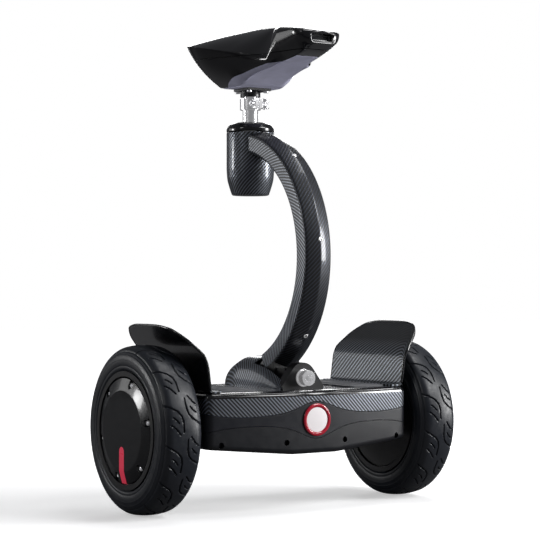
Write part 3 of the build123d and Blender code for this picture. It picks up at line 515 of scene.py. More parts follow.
def piece(
    name: str,
    patches: Sequence[Patch],
    paint: Paint,
    sharp: float = 34.0,
    closed: bool = True,
    caps: Sequence[int] = (),
) -> bpy.types.Object:
    """Join grids into one smooth mesh object.

    Args:
        name: Name of the piece.
        patches: Grids whose touching edges are merged.
        paint: Finish of the piece.
        sharp: Degrees from which an edge stays sharp.
        closed: True if the merged grids enclose a space, so faces can be turned outwards.
        caps: Rows of the first patch, by index, that are closed with a flat face.

    Returns:
        The new object, linked to the scene.
    """
    vertices: list[np.ndarray] = []
    faces: list[tuple[int, ...]] = []
    weave: list[np.ndarray] = []
    start = 0
    for patch in patches:
        rows, columns = patch.points.shape[:2]
        vertices.append(patch.points.reshape(-1, 3))
        weave.append(patch.weave.reshape(-1, 2))
        index = start + np.arange(rows * columns).reshape(rows, columns)
        faces.extend(grid_faces(index))
        start += rows * columns
    rows, columns = patches[0].points.shape[:2]
    for row in caps:
        base = row % rows * columns
        faces.append(tuple(range(base, base + columns)))
    mesh = bpy.data.meshes.new(name)
    mesh.from_pydata(np.concatenate(vertices).tolist(), [], faces)
    layer = mesh.uv_layers.new(name=WEAVE)
    loops = np.zeros(len(mesh.loops), np.int32)
    mesh.loops.foreach_get("vertex_index", loops)
    layer.data.foreach_set("uv", np.concatenate(weave)[loops].astype(np.float32).ravel())
    return dressed(name, mesh, paint, sharp, closed)


def dressed(
    name: str, mesh: bpy.types.Mesh, paint: Paint, sharp: float = 34.0, closed: bool = True
) -> bpy.types.Object:
    """Merge a mesh, turn it outwards, smooth it and give it its finish.

    Args:
        name: Name of the piece.
        mesh: The mesh to finish.
        paint: Finish of the piece.
        sharp: Degrees from which an edge stays sharp.
        closed: True if the faces can be turned outwards.

    Returns:
        The new object, linked to the scene.
    """
    work = bmesh.new()
    work.from_mesh(mesh)
    bmesh.ops.remove_doubles(work, verts=work.verts, dist=2e-6)
    bmesh.ops.dissolve_degenerate(work, edges=work.edges, dist=1e-7)
    if closed:
        bmesh.ops.recalc_face_normals(work, faces=work.faces)
    limit = math.radians(sharp)
    for face in work.faces:
        face.smooth = True
    for edge in work.edges:
        edge.smooth = len(edge.link_faces) == 2 and edge.calc_face_angle(0.0) < limit
    work.to_mesh(mesh)
    work.free()
    mesh.materials.clear()
    mesh.materials.append(PALETTE.get(paint))
    item = bpy.data.objects.new(name, mesh)
    bpy.context.scene.collection.objects.link(item)
    return item


def bevelled(
    item: bpy.types.Object, width: float, angle: float = 34.0, segments: int = 2
) -> bpy.types.Object:
    """Round a piece's sharp edges.

    Args:
        item: The piece.
        width: Width of the rounding in metres.
        angle: Degrees from which an edge is rounded.
        segments: Steps in the rounding.

    Returns:
        The same piece.
    """
    bevel = item.modifiers.new("edge_rounding", "BEVEL")
    bevel.width = width
    bevel.segments = segments
    bevel.limit_method = "ANGLE"
    bevel.angle_limit = math.radians(angle)
    bevel.use_clamp_overlap = True
    bevel.harden_normals = True
    return item


def walled(item: bpy.types.Object, thickness: float, offset: float = -1.0) -> bpy.types.Object:
    """Give a sheet its wall thickness."""
    wall = item.modifiers.new("wall", "SOLIDIFY")
    wall.thickness = thickness
    wall.offset = offset
    wall.use_even_offset = True
    return item


def baked(item: bpy.types.Object) -> bpy.types.Object:
    """Turn a piece's modifiers into plain mesh.

    Args:
        item: The piece.

    Returns:
        The same piece, with a plain mesh and no modifiers.
    """
    bpy.context.view_layer.update()
    graph = bpy.context.evaluated_depsgraph_get()
    mesh = bpy.data.meshes.new_from_object(item.evaluated_get(graph), depsgraph=graph)
    item.modifiers.clear()
    item.data = mesh
    return item


def arc_points(first: tuple, middle: tuple, last: tuple, count: int) -> np.ndarray:
    """Points along the circle through three flat points.

    Args:
        first: Start of the arc.
        middle: A point the arc passes through.
        last: End of the arc.
        count: Number of points.

    Returns:
        An array of (count, 2) points.
    """
    (ax, ay), (bx, by), (cx, cy) = first, middle, last
    d = 2 * (ax * (by - cy) + bx * (cy - ay) + cx * (ay - by))
    a2, b2, c2 = ax * ax + ay * ay, bx * bx + by * by, cx * cx + cy * cy
    ux = (a2 * (by - cy) + b2 * (cy - ay) + c2 * (ay - by)) / d
    uy = (a2 * (cx - bx) + b2 * (ax - cx) + c2 * (bx - ax)) / d
    radius = math.hypot(ax - ux, ay - uy)
    angles = np.unwrap([math.atan2(y - uy, x - ux) for x, y in (first, middle, last)])
    turn = np.linspace(angles[0], angles[2], count)
    return np.stack([ux + radius * np.cos(turn), uy + radius * np.sin(turn)], -1)


def softened(points: Sequence[tuple[float, float]], radius: float, steps: int = 4) -> np.ndarray:
    """Round the inner corners of an open flat path.

    Args:
        points: The path's corners.
        radius: Distance from a corner at which the rounding starts.
        steps: Points in each rounding.

    Returns:
        An array of flat points.
    """
    corners = [np.array(point, float) for point in points]
    path = [corners[0]]
    for before, corner, after in zip(corners, corners[1:], corners[2:]):
        back, ahead = before - corner, after - corner
        reach = min(radius, 0.45 * np.linalg.norm(back), 0.45 * np.linalg.norm(ahead))
        start = corner + back / np.linalg.norm(back) * reach
        end = corner + ahead / np.linalg.norm(ahead) * reach
        for share in np.linspace(0, 1, steps):
            path.append((1 - share) ** 2 * start + 2 * share * (1 - share) * corner + share**2 * end)
    path.append(corners[-1])
    return np.array(path)


def running_length(path: np.ndarray) -> np.ndarray:
    """Distance along a path of points, starting at zero."""
    steps = np.linalg.norm(np.diff(path, axis=0), axis=-1)
    return np.concatenate([[0.0], np.cumsum(steps)])


def lathe(path: np.ndarray, place: Placer, count: int) -> Patch:
    """Turn a (height, radius) path into a closed grid.

    Args:
        path: Points as (distance along the axis, radius).
        place: Puts (height, radius, angle) arrays into the frame.
        count: Steps round the axis.

    Returns:
        The grid with its weave map.
    """
    angle = np.linspace(0, 2 * math.pi, count + 1)
    height, turn = np.meshgrid(path[:, 0], angle, indexing="ij")
    radius = np.repeat(path[:, 1][:, None], count + 1, 1)
    around = turn * path[:, 1].max()
    down = np.repeat(running_length(path)[:, None], count + 1, 1)
    return Patch(place(height, radius, turn), np.stack([around, down], -1))


def smooth_steps(low: float, high: float, value: np.ndarray) -> np.ndarray:
    """A soft step from 0 at low to 1 at high."""
    share = np.clip((value - low) / (high - low), 0, 1)
    return share * share * (3 - 2 * share)


def smooth_line(places: Sequence[float], values: Sequence[float], at: np.ndarray) -> np.ndarray:
    """Curve through stations without overshoot.

    Args:
        places: Rising station positions.
        values: Value at each station.
        at: Positions to read.

    Returns:
        The value at each position.
    """
    x, y = np.array(places, float), np.array(values, float)
    slope = np.diff(y) / np.diff(x)
    tangent = np.zeros(len(x))
    tangent[0], tangent[-1] = slope[0], slope[-1]
    for i in range(1, len(x) - 1):
        if slope[i - 1] * slope[i] > 0:
            tangent[i] = 2 * slope[i - 1] * slope[i] / (slope[i - 1] + slope[i])
    spot = np.clip(np.searchsorted(x, at, side="right") - 1, 0, len(x) - 2)
    width = x[spot + 1] - x[spot]
    t = (np.clip(at, x[0], x[-1]) - x[spot]) / width
    return (
        (2 * t**3 - 3 * t**2 + 1) * y[spot]
        + (t**3 - 2 * t**2 + t) * width * tangent[spot]
        + (3 * t**2 - 2 * t**3) * y[spot + 1]
        + (t**3 - t**2) * width * tangent[spot + 1]
    )


def tube(path: np.ndarray, radius: float, sides: int = 10) -> Patch:
    """Round bead along a path of points.

    Args:
        path: Points of its middle line.
        radius: Radius of the bead, shrinking to nothing at both ends.
        sides: Steps round the bead.

    Returns:
        The bead's grid.
    """
    tangent = np.gradient(path, axis=0)
    tangent /= np.linalg.norm(tangent, axis=1)[:, None]
    first = np.cross(tangent, np.array([0.31, 0.17, 0.93]))
    first /= np.linalg.norm(first, axis=1)[:, None]
    second = np.cross(tangent, first)
    length = running_length(path)
    size = radius * np.clip(np.minimum(length, length[-1] - length) / (2 * radius), 0.05, 1.0)
    turn = np.linspace(0, 2 * math.pi, sides + 1)
    ring = np.cos(turn)[None, :, None] * first[:, None] + np.sin(turn)[None, :, None] * second[:, None]
    points = path[:, None] + ring * size[:, None, None]
    along = np.repeat(length[:, None], sides + 1, 1)
    around = np.repeat(turn[None] * radius, len(path), 0)
    return Patch(points, np.stack([along, around], -1))


def adopt(item: bpy.types.Object, body: str, slot: str, *nodes: str) -> bpy.types.Object:
    """Let a piece ride and stand for its nodes.

    Args:
        item: The piece.
        body: The body that carries it.
        slot: The record's material slot; not used.
        nodes: The nodes that it stands for.

    Returns:
        The same piece.
    """
    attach(item, body)
    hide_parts(*nodes)
    log.info("%s rides %s, %d faces", item.name, body, len(item.data.polygons))
    return item


def lowered(item: bpy.types.Object, front: float, level: float) -> None:
    """Bring down what stands above a level behind a plane.

    Args:
        item: The piece.
        front: Where along Y it starts.
        level: The greatest height left.
    """
    for vertex in item.data.vertices:
        if vertex.co.y > front:
            vertex.co.z = min(vertex.co.z, level)
    item.data.update()


def polished(node: str, paint: Paint, width: float = 0.0, sharp: float = 28.0) -> bpy.types.Object:
    """A welded copy of a node with soft edges and a weave map across its main faces.

    Args:
        node: The node to copy.
        paint: Finish of the copy.
        width: Rounding of its sharp edges, none at zero.
        sharp: Degrees from which an edge stays sharp.

    Returns:
        The copy, not yet riding on anything.
    """
    mesh = bpy.data.objects[node].data.copy()
    item = dressed(f"{node}_piece", mesh, paint, sharp, closed=False)
    work = bmesh.new()
    work.from_mesh(mesh)
    bmesh.ops.dissolve_limit(
        work, angle_limit=math.radians(0.6), verts=work.verts, edges=work.edges, delimit={"SHARP"}
    )
    layer = work.loops.layers.uv.get(WEAVE) or work.loops.layers.uv.new(WEAVE)
    for face in work.faces:
        normal = face.normal
        axis = max(range(3), key=lambda number: abs(normal[number]))
        for loop in face.loops:
            x, y, z = loop.vert.co
            loop[layer].uv = ((y, z), (x, z), (x, y))[axis]
    work.to_mesh(mesh)
    work.free()
    return bevelled(item, width, sharp) if width else item


# ------------------------------------------------------------------ repeated pieces


class Tree:
    """One Geometry Nodes tree with named inputs."""

    def __init__(self, name: str, inputs: dict[str, str]) -> None:
        """Start a tree.

        Args:
            name: Name of the tree.
            inputs: Input names and their socket types, without the word NodeSocket.
        """
        self.tree = bpy.data.node_groups.new(name, "GeometryNodeTree")
        self.keys: dict[str, str] = {}
        self.tree.interface.new_socket("Geometry", in_out="INPUT", socket_type="NodeSocketGeometry")
        for label, kind in inputs.items():
            socket = self.tree.interface.new_socket(label, in_out="INPUT", socket_type=f"NodeSocket{kind}")
            self.keys[label] = socket.identifier
        self.tree.interface.new_socket("Geometry", in_out="OUTPUT", socket_type="NodeSocketGeometry")
        self.source = self.tree.nodes.new("NodeGroupInput")

    def add(self, kind: str, **links: object) -> bpy.types.Node:
        """Add a node and fill its inputs.

        Args:
            kind: Blender's name of the node type.
            links: Input names, with underscores for spaces, and outputs or constants.

        Returns:
            The new node.
        """
        node = self.tree.nodes.new(kind)
        for label, value in links.items():
            socket = node.inputs[label.replace("_", " ")]
            if isinstance(value, bpy.types.NodeSocket):
                self.tree.links.new(value, socket)
            else:
                socket.default_value = value
        return node

    def scatter(self, points: bpy.types.NodeSocket) -> None:
        """End the tree: put a real, finished copy of the template on every point."""
        template = self.add("GeometryNodeObjectInfo", Object=self.source.outputs["Template"])
        copies = self.add(
            "GeometryNodeInstanceOnPoints", Points=points, Instance=template.outputs["Geometry"]
        )
        real = self.add("GeometryNodeRealizeInstances", Geometry=copies.outputs["Instances"])
        finish = self.source.outputs["Finish"]
        painted = self.add("GeometryNodeSetMaterial", Geometry=real.outputs["Geometry"], Material=finish)
        self.add("NodeGroupOutput", Geometry=painted.outputs["Geometry"])

    def grow(self, name: str, **values: object) -> bpy.types.Object:
        """Run the tree and keep its result as a plain mesh.

        Args:
            name: Name of the finished piece.
            values: Values of the named inputs.

        Returns:
            The finished piece.
        """
        host = bpy.data.objects.new(name, bpy.data.meshes.new(name))
        bpy.context.scene.collection.objects.link(host)
        modifier = host.modifiers.new("repeat", "NODES")
        modifier.node_group = self.tree
        for label, value in values.items():
            modifier[self.keys[label.replace("_", " ")]] = value
        host.update_tag()
        return baked(host)


def ring_tree() -> Tree:
    """Copies on a circle in a plane square to the axle.

    Returns:
        The tree, with inputs Template, Count, Radius, Phase, Middle and Finish.
    """
    tree = Tree(
        "ring_of_copies",
        {"Template": "Object", "Count": "Int", "Radius": "Float", "Phase": "Float", "Middle": "Vector",
         "Finish": "Material"},
    )
    ports = tree.source.outputs
    circle = tree.add("GeometryNodeMeshCircle", Vertices=ports["Count"], Radius=ports["Radius"])
    phase = tree.add("ShaderNodeCombineXYZ", Z=ports["Phase"])
    turned = tree.add(
        "GeometryNodeTransform", Geometry=circle.outputs["Mesh"], Rotation=phase.outputs["Vector"]
    )
    stood = tree.add(
        "GeometryNodeTransform", Geometry=turned.outputs["Geometry"],
        Rotation=(0, -math.pi / 2, 0), Translation=ports["Middle"],
    )
    tree.scatter(stood.outputs["Geometry"])
    return tree


def row_tree() -> Tree:
    """Copies in a straight row.

    Returns:
        The tree, with inputs Template, Count, Start, Step and Finish.
    """
    tree = Tree(
        "row_of_copies",
        {"Template": "Object", "Count": "Int", "Start": "Vector", "Step": "Vector", "Finish": "Material"},
    )
    ports = tree.source.outputs
    line = tree.add(
        "GeometryNodeMeshLine", Count=ports["Count"], Start_Location=ports["Start"], Offset=ports["Step"]
    )
    tree.scatter(line.outputs["Mesh"])
    return tree


class Repeaters:
    """The two repeat trees, each made once."""

    def __init__(self) -> None:
        """Build both trees."""
        self.ring = ring_tree()
        self.row = row_tree()


@dataclass(frozen=True)
class CapScrew:
    """A small screw with a domed head and a socket, facing along one direction."""

    head: float
    height: float
    socket: float

    def template(self, name: str, facing: Vector, paint: Paint) -> bpy.types.Object:
        """Build the screw about the origin, seated on a plane through it.

        Args:
            name: Name of the template.
            facing: Direction that the head faces.
            paint: Its finish.

        Returns:
            The template object.
        """
        radius, tall, hole = self.head / 2, self.height, self.socket / 2
        path = softened(
            [(-0.4 * MM, 0.0), (-0.4 * MM, radius), (tall * 0.7, radius), (tall, radius * 0.75),
             (tall, hole), (tall * 0.35, hole), (tall * 0.35, 0.0)],
            0.3 * MM, 3,
        )
        turn = facing.to_track_quat("Z", "Y").to_matrix()
        matrix = np.array(turn)

        def place(height: np.ndarray, ring: np.ndarray, angle: np.ndarray) -> np.ndarray:
            """Local screw point turned to its facing."""
            local = np.stack([ring * np.cos(angle), ring * np.sin(angle), height], -1)
            return local @ matrix.T

        return piece(name, [lathe(path, place, 18)], paint, 30)


def discard(*items: bpy.types.Object) -> None:
    """Remove template objects from the scene."""
    for item in items:
        bpy.data.objects.remove(item)


def carved(item: bpy.types.Object, *cutters: bpy.types.Object) -> bpy.types.Object:
    """Cut solids out of a piece.

    Args:
        item: The piece.
        cutters: The solids to take away; they are removed.

    Returns:
        The same piece, with a plain mesh and no modifiers.
    """
    for cutter in cutters:
        cut = item.modifiers.new("cut", "BOOLEAN")
        cut.operation = "DIFFERENCE"
        cut.solver = "EXACT"
        cut.object = cutter
    baked(item)
    discard(*cutters)
    return item


def box_cutter(name: str, size: Spot, middle: Spot, paint: Paint) -> bpy.types.Object:
    """Plain box to carve with.

    Args:
        name: Name of the cutter.
        size: Its lengths along X, Y and Z.
        middle: Its middle.
        paint: Finish of the piece that it cuts.

    Returns:
        The cutter.
    """
    mesh = bpy.data.meshes.new(name)
    work = bmesh.new()
    bmesh.ops.create_cube(work, size=1.0)
    bmesh.ops.scale(work, vec=size, verts=work.verts)
    bmesh.ops.translate(work, vec=middle, verts=work.verts)
    work.to_mesh(mesh)
    work.free()
    mesh.uv_layers.new(name=WEAVE)
    return dressed(name, mesh, paint)


def joined(name: str, items: Sequence[bpy.types.Object]) -> bpy.types.Object:
    """Join finished meshes with one finish into one piece.

    Args:
        name: Name of the result.
        items: The objects to join; they are removed.

    Returns:
        The joined piece.
    """
    work = bmesh.new()
    for item in items:
        work.from_mesh(item.data)
    mesh = bpy.data.meshes.new(name)
    work.to_mesh(mesh)
    work.free()
    mesh.materials.append(items[0].data.materials[0])
    discard(*items)
    result = bpy.data.objects.new(name, mesh)
    bpy.context.scene.collection.objects.link(result)
    return result


@dataclass(frozen=True)
class Copy:
    """A node shown as its welded, soft-edged copy, cut off at a level behind the axle if it has one."""

    node: str
    body: str
    slot: str
    paint: Paint
    width: float = 0.6 * MM
    level: float | None = None

    def build(self) -> None:
        """Make the copy and let it ride on its body."""
        item = polished(self.node, self.paint, self.width)
        if self.level is not None:
            lowered(item, 0.0, self.level)
        adopt(baked(item), self.body, self.slot, self.node)


# ------------------------------------------------------------------ studio


@dataclass(frozen=True)
class Lamp:
    """One soft rectangular light."""

    name: str
    place: tuple[float, float, float]
    aim: tuple[float, float, float]
    power: float
    width: float
    height: float


@dataclass
class Studio:
    """Floor, lights, world and camera."""

    eye: tuple[float, float, float] = (-1.4901, -2.2946, 0.355)
    bearing: float = -32.83
    pitch: float = 0.37
    lens: float = 114.27
    sensor: float = 36.0
    floor_reach: float = 9.0
    floor_drop: float = 0.4 * MM
    floor_glow: float = 0.45
    shadow_reach: float = 0.45
    fade_reach: float = 1.3
    lamps: tuple[Lamp, ...] = (
        Lamp("key", (2.7, -1.8, 0.85), (0, 0, 0.2), 75.0, 0.9, 1.2),
        Lamp("front", (1.5, -1.9, 2.1), (0, 0, 0.3), 36.0, 1.2, 0.9),
        Lamp("side", (-1.75, 2.5, 0.85), (0, 0, 0.3), 4.0, 1.0, 1.0),
        Lamp("ring", (-2.4, 1.75, 0.72), (-0.27, 0, 0.13), 12.0, 0.55, 0.4),
        Lamp("left", (-2.7, -0.6, 1.7), (0, 0, 0.3), 8.0, 0.6, 1.0),
        Lamp("over", (0.75, -0.1, 2.6), (0, 0, 0.2), 20.0, 1.2, 1.0),
        Lamp("rear", (1.5, 2.2, 1.2), (0, 0, 0.4), 12.0, 1.0, 1.0),
    )

    def build(self) -> None:
        """Make the whole studio."""
        settings = bpy.context.scene.view_settings
        settings.view_transform = "Standard"
        settings.look = "None"
        self.world()
        self.floor()
        for lamp in self.lamps:
            self.light(lamp)
        self.camera()

    def world(self) -> None:
        """Pale backdrop that lights the object less than it shows."""
        world = bpy.data.worlds.new("studio_world")
        bpy.context.scene.world = world
        world.use_nodes = True
        tree = world.node_tree
        tree.nodes.clear()
        output = tree.nodes.new("ShaderNodeOutputWorld")
        mix = tree.nodes.new("ShaderNodeMixShader")
        path = tree.nodes.new("ShaderNodeLightPath")
        glow = tree.nodes.new("ShaderNodeBackground")
        shown = tree.nodes.new("ShaderNodeBackground")
        glow.inputs["Color"].default_value = (0.93, 0.95, 1.0, 1)
        glow.inputs["Strength"].default_value = 0.10
        shown.inputs["Color"].default_value = (1, 1, 1, 1)
        shown.inputs["Strength"].default_value = 1.0
        tree.links.new(path.outputs["Is Camera Ray"], mix.inputs["Fac"])
        tree.links.new(glow.outputs["Background"], mix.inputs[1])
        tree.links.new(shown.outputs["Background"], mix.inputs[2])
        tree.links.new(mix.outputs["Shader"], output.inputs["Surface"])

    def floor(self) -> None:
        """Plain pale floor that fades to white away from the object."""
        mesh = bpy.data.meshes.new("floor")
        reach = self.floor_reach
        corners = [(-reach, -reach, 0), (reach, -reach, 0), (reach, reach, 0), (-reach, reach, 0)]
        mesh.from_pydata(corners, [], [(0, 1, 2, 3)])
        mesh.materials.append(self.floor_paint())
        item = bpy.data.objects.new("floor", mesh)
        bpy.context.scene.collection.objects.link(item)
        item.location.z = -self.floor_drop

    def floor_paint(self) -> bpy.types.Material:
        """Floor finish: pale to the camera, darker to the light that bounces off it.

        Returns:
            The material, glowing up to white from the fade's reach on.
        """
        material = bpy.data.materials.new("pale_floor")
        nodes = Nodes(material)
        tone = nodes.spread(nodes.noise(3.0, 2.0), 0.0, 1.0)
        nodes.link(nodes.blend(tone, (0.86, 0.86, 0.87), (0.9, 0.9, 0.91)), nodes.shader.inputs["Base Color"])
        nodes.constants(roughness=0.7)
        nodes.shader.inputs["Specular IOR Level"].default_value = 0.1
        nodes.shader.inputs["Emission Color"].default_value = (1, 1, 1, 1)
        distance = nodes.add("ShaderNodeVectorMath", operation="LENGTH")
        nodes.link(nodes.place(), distance.inputs[0])
        far = nodes.add("ShaderNodeMapRange", interpolation_type="SMOOTHSTEP")
        nodes.link(distance.outputs["Value"], far.inputs["Value"])
        far.inputs["From Min"].default_value = self.shadow_reach
        far.inputs["From Max"].default_value = self.fade_reach
        far.inputs["To Min"].default_value = self.floor_glow
        far.inputs["To Max"].default_value = 1.0
        path = nodes.add("ShaderNodeLightPath")
        seen = nodes.math("MULTIPLY", far.outputs["Result"], path.outputs["Is Camera Ray"])
        nodes.link(seen, nodes.shader.inputs["Emission Strength"])
        dim = nodes.add("ShaderNodeBsdfDiffuse")
        dim.inputs["Color"].default_value = (0.16, 0.16, 0.165, 1)
        mix = nodes.add("ShaderNodeMixShader")
        nodes.link(path.outputs["Is Camera Ray"], mix.inputs["Fac"])
        nodes.link(dim.outputs["BSDF"], mix.inputs[1])
        nodes.link(nodes.shader.outputs["BSDF"], mix.inputs[2])
        output = next(node for node in nodes.tree.nodes if node.type == "OUTPUT_MATERIAL")
        nodes.link(mix.outputs["Shader"], output.inputs["Surface"])
        return material

    def light(self, lamp: Lamp) -> None:
        """Add one area light.

        Args:
            lamp: The light's place, aim, power and size.
        """
        data = bpy.data.lights.new(lamp.name, "AREA")
        data.shape = "RECTANGLE"
        data.size = lamp.width
        data.size_y = lamp.height
        data.energy = lamp.power
        item = bpy.data.objects.new(lamp.name, data)
        bpy.context.scene.collection.objects.link(item)
        item.location = lamp.place
        item.visible_camera = False
        direction = Vector(lamp.aim) - Vector(lamp.place)
        item.rotation_euler = direction.to_track_quat("-Z", "Y").to_euler()

    def camera(self) -> None:
        """Long lens a little above the deck, seen from the front left."""
        data = bpy.data.cameras.new("camera")
        data.lens = self.lens
        data.sensor_width = self.sensor
        data.clip_end = 60.0
        item = bpy.data.objects.new("camera", data)
        bpy.context.scene.collection.objects.link(item)
        item.location = self.eye
        item.rotation_euler = (math.radians(90 + self.pitch), 0, math.radians(self.bearing))
        bpy.context.scene.camera = item


# ------------------------------------------------------------------ wheels


@dataclass
class Wheel:
    """One wheel: treaded tyre, drum, hub cover with its stripe and screws."""

    side: Side
    repeaters: Repeaters
    segments: int = 840
    pitches: int = 13
    crown_radius: float = 129 * MM
    tread_depth: float = 2.3 * MM
    rings: tuple = ((93.6, 0.9, 2.0), (97.6, -0.5, 0.7), (108.0, 0.25, 0.8), (113.8, 0.5, 0.8))
    disc_radius: float = 61.5 * MM
    cover_radius: float = 80.2 * MM
    disc_stand: float = 38.3 * MM
    rim_stand: float = 33.3 * MM
    flange_stand: float = 26.0 * MM
    stripe_width: float = 15.0 * MM
    stripe_top: float = 24.0 * MM
    screw_count: int = 6
    screw_radius: float = 72.0 * MM
    screw_phase: float = 43.0
    screw_seat: float = 30.5 * MM
    screw: CapScrew = field(default_factory=lambda: CapScrew(7.4 * MM, 3.0 * MM, 3.2 * MM))

    def __post_init__(self) -> None:
        """Take the wheel's middle from its tyre's box."""
        low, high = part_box(self.node("tyre"))
        self.middle = (low + high) / 2
        self.body = f"{self.side.word}_wheel"

    def node(self, name: str) -> str:
        """A node of this wheel."""
        return f"{self.side.word}_{name}"

    def place(self, height: np.ndarray, radius: np.ndarray, angle: np.ndarray) -> np.ndarray:
        """Put (outboard, radius, angle from the top) arrays at this wheel."""
        return np.stack(
            [
                self.middle.x + self.side.value * height,
                self.middle.y + radius * np.sin(angle),
                self.middle.z + radius * np.cos(angle),
            ],
            -1,
        )

    def build(self) -> None:
        """Make every piece of the wheel."""
        self.tyre()
        Copy(self.node("rim"), self.body, "black_paint", Paint.POWDER, 0.5 * MM).build()
        self.cover()
        self.stripe()
        self.screws()
        # The black powder finish on the motor cover is painted shade for the wheel's inner side, which lies
        # in shadow.
        Copy(self.node("motor_cover"), self.body, "black_paint", Paint.POWDER, 0.8 * MM).build()

    def outline(self) -> tuple[np.ndarray, np.ndarray]:
        """Tyre outline from the outboard bead over the tread to the inboard bead.

        Returns:
            Points as (outboard, radius) in metres, and the outboard distance from the crown along the
            surface.
        """
        side = arc_points((31, 90.2), (35, 104), (31, 118), 17)
        fine = []
        for start, end in zip(side, side[1:]):
            fine.extend(start + (end - start) * share for share in (0.0, 0.34, 0.67))
        fine.append(side[-1])
        wall = np.array(fine)
        for radius, rise, width in self.rings:
            wall[:, 0] += rise * np.exp(-(((wall[:, 1] - radius) / width) ** 2))
        shoulder = arc_points((31, 118), (26, 124.2), (19, 127.3), 9)[1:]
        crown = arc_points((19, 127.3), (0, 129), (-19, 127.3), 41)[1:]
        half = np.concatenate([wall, shoulder])
        other = half[::-1] * (-1, 1)
        path = np.concatenate([half, crown, other[1:]]) * MM
        middle = len(half) + 20 - 1
        return path, running_length(path) - running_length(path)[middle]

    def tread(self, across: np.ndarray, angle: np.ndarray) -> np.ndarray:
        """Share of the full groove depth at each point of the tread.

        Args:
            across: Metres over the surface from the crown, positive outboard.
            angle: Angle from the top.

        Returns:
            Values from 0, on a block, to 1, in a groove.
        """
        depth = np.zeros_like(across)
        pitch = 2 * math.pi / self.pitches
        for half in (1, -1):
            offset = across * self.side.value * half / MM
            start = 0.5 if half > 0 else 0.0
            length = pitch * self.crown_radius / MM
            turn = np.mod(start - half * angle / pitch, 1.0) * length
            for shift in (-length, 0.0, length):
                depth = np.maximum(depth, self.hook(offset, turn + shift))
        return depth

    @staticmethod
    def hook(offset: np.ndarray, turn: np.ndarray) -> np.ndarray:
        """One hooked groove with its two short cuts, in millimetres."""
        result = np.zeros_like(offset)
        lines = (
            (((32, -1), (22, 4), (12, 10), (6, 17), (3.6, 26), (3.2, 41)), 1.15),
            (((19, 19.5), (14.5, 23), (10.5, 28)), 0.95),
            (((23, 30.5), (16, 36), (9, 45)), 1.0),
        )
        for points, half in lines:
            for (x0, y0), (x1, y1) in zip(points, points[1:]):
                dx, dy = x1 - x0, y1 - y0
                share = np.clip(((offset - x0) * dx + (turn - y0) * dy) / (dx * dx + dy * dy), 0, 1)
                gap = np.hypot(offset - x0 - share * dx, turn - y0 - share * dy)
                result = np.maximum(result, 1 - smooth_steps(half * 0.55, half * 1.25, gap))
        return result

    def tyre(self) -> None:
        """Tyre with moulded rings, shoulder line and hooked grooves."""
        path, across = self.outline()
        count = self.segments
        angle = np.linspace(0, 2 * math.pi, count + 1)
        edge, turn = np.meshgrid(across, angle, indexing="ij")
        depth = self.tread(edge, turn) * (1 - smooth_steps(29.5 * MM, 33.5 * MM, np.abs(edge)))
        line = np.exp(-(((np.abs(edge) - 33.2 * MM) / (0.55 * MM)) ** 2)) * 0.55
        depth = np.maximum(depth, line)
        tangent = np.gradient(path, axis=0)
        tangent /= np.linalg.norm(tangent, axis=1)[:, None]
        inward = np.stack([tangent[:, 1], -tangent[:, 0]], -1)
        inward *= np.where((inward[:, 1] > 0), -1, 1)[:, None]
        height = path[:, 0][:, None] + inward[:, 0][:, None] * depth * self.tread_depth
        radius = path[:, 1][:, None] + inward[:, 1][:, None] * depth * self.tread_depth
        weave = np.stack([turn * 0.12, edge], -1)
        outside = Patch(self.place(height, radius, turn), weave)
        inner_path = softened([(-31, 90.2), (-24, 90.2), (-27.5, 103), (-20, 118), (0, 121), (20, 118),
                               (27.5, 103), (24, 90.2), (31, 90.2)], 3, 3) * MM
        inside = lathe(inner_path, self.place, count)
        item = piece(f"{self.side.word}_tyre_piece", [outside, inside], Paint.TYRE, 40)
        adopt(item, self.body, "tyre_rubber", self.node("tyre"))

    def cover(self) -> None:
        """Gloss cover: flat disc, sloping ring and six open screw notches."""
        disc, rim = self.disc_radius, self.cover_radius
        path = softened(
            [(self.flange_stand, rim), (self.rim_stand - 0.8 * MM, rim), (self.rim_stand, rim - 0.7 * MM),
             (self.disc_stand, disc + 0.4 * MM), (self.disc_stand + 0.2 * MM, disc - 1.2 * MM),
             (self.disc_stand + 0.25 * MM, 1 * MM), (self.disc_stand + 0.25 * MM, 0)],
            0.7 * MM, 4,
        )
        back = np.array([(self.flange_stand, rim), (self.flange_stand, 66 * MM), (self.flange_stand, 0)])
        count = 192
        front = lathe(path, self.place, count)
        rear = lathe(back, self.place, count)
        item = piece(self.node("cover_blank"), [front, rear], Paint.HUB, 30)
        carved(item, *[self.notch(number) for number in range(self.screw_count)])
        blank = item.data
        bpy.data.objects.remove(item)
        item = dressed(self.node("hub_cover_piece"), blank, Paint.HUB, 30)
        baked(bevelled(item, 0.45 * MM, 40))
        adopt(item, self.body, "black_gloss", self.node("hub_cover"))

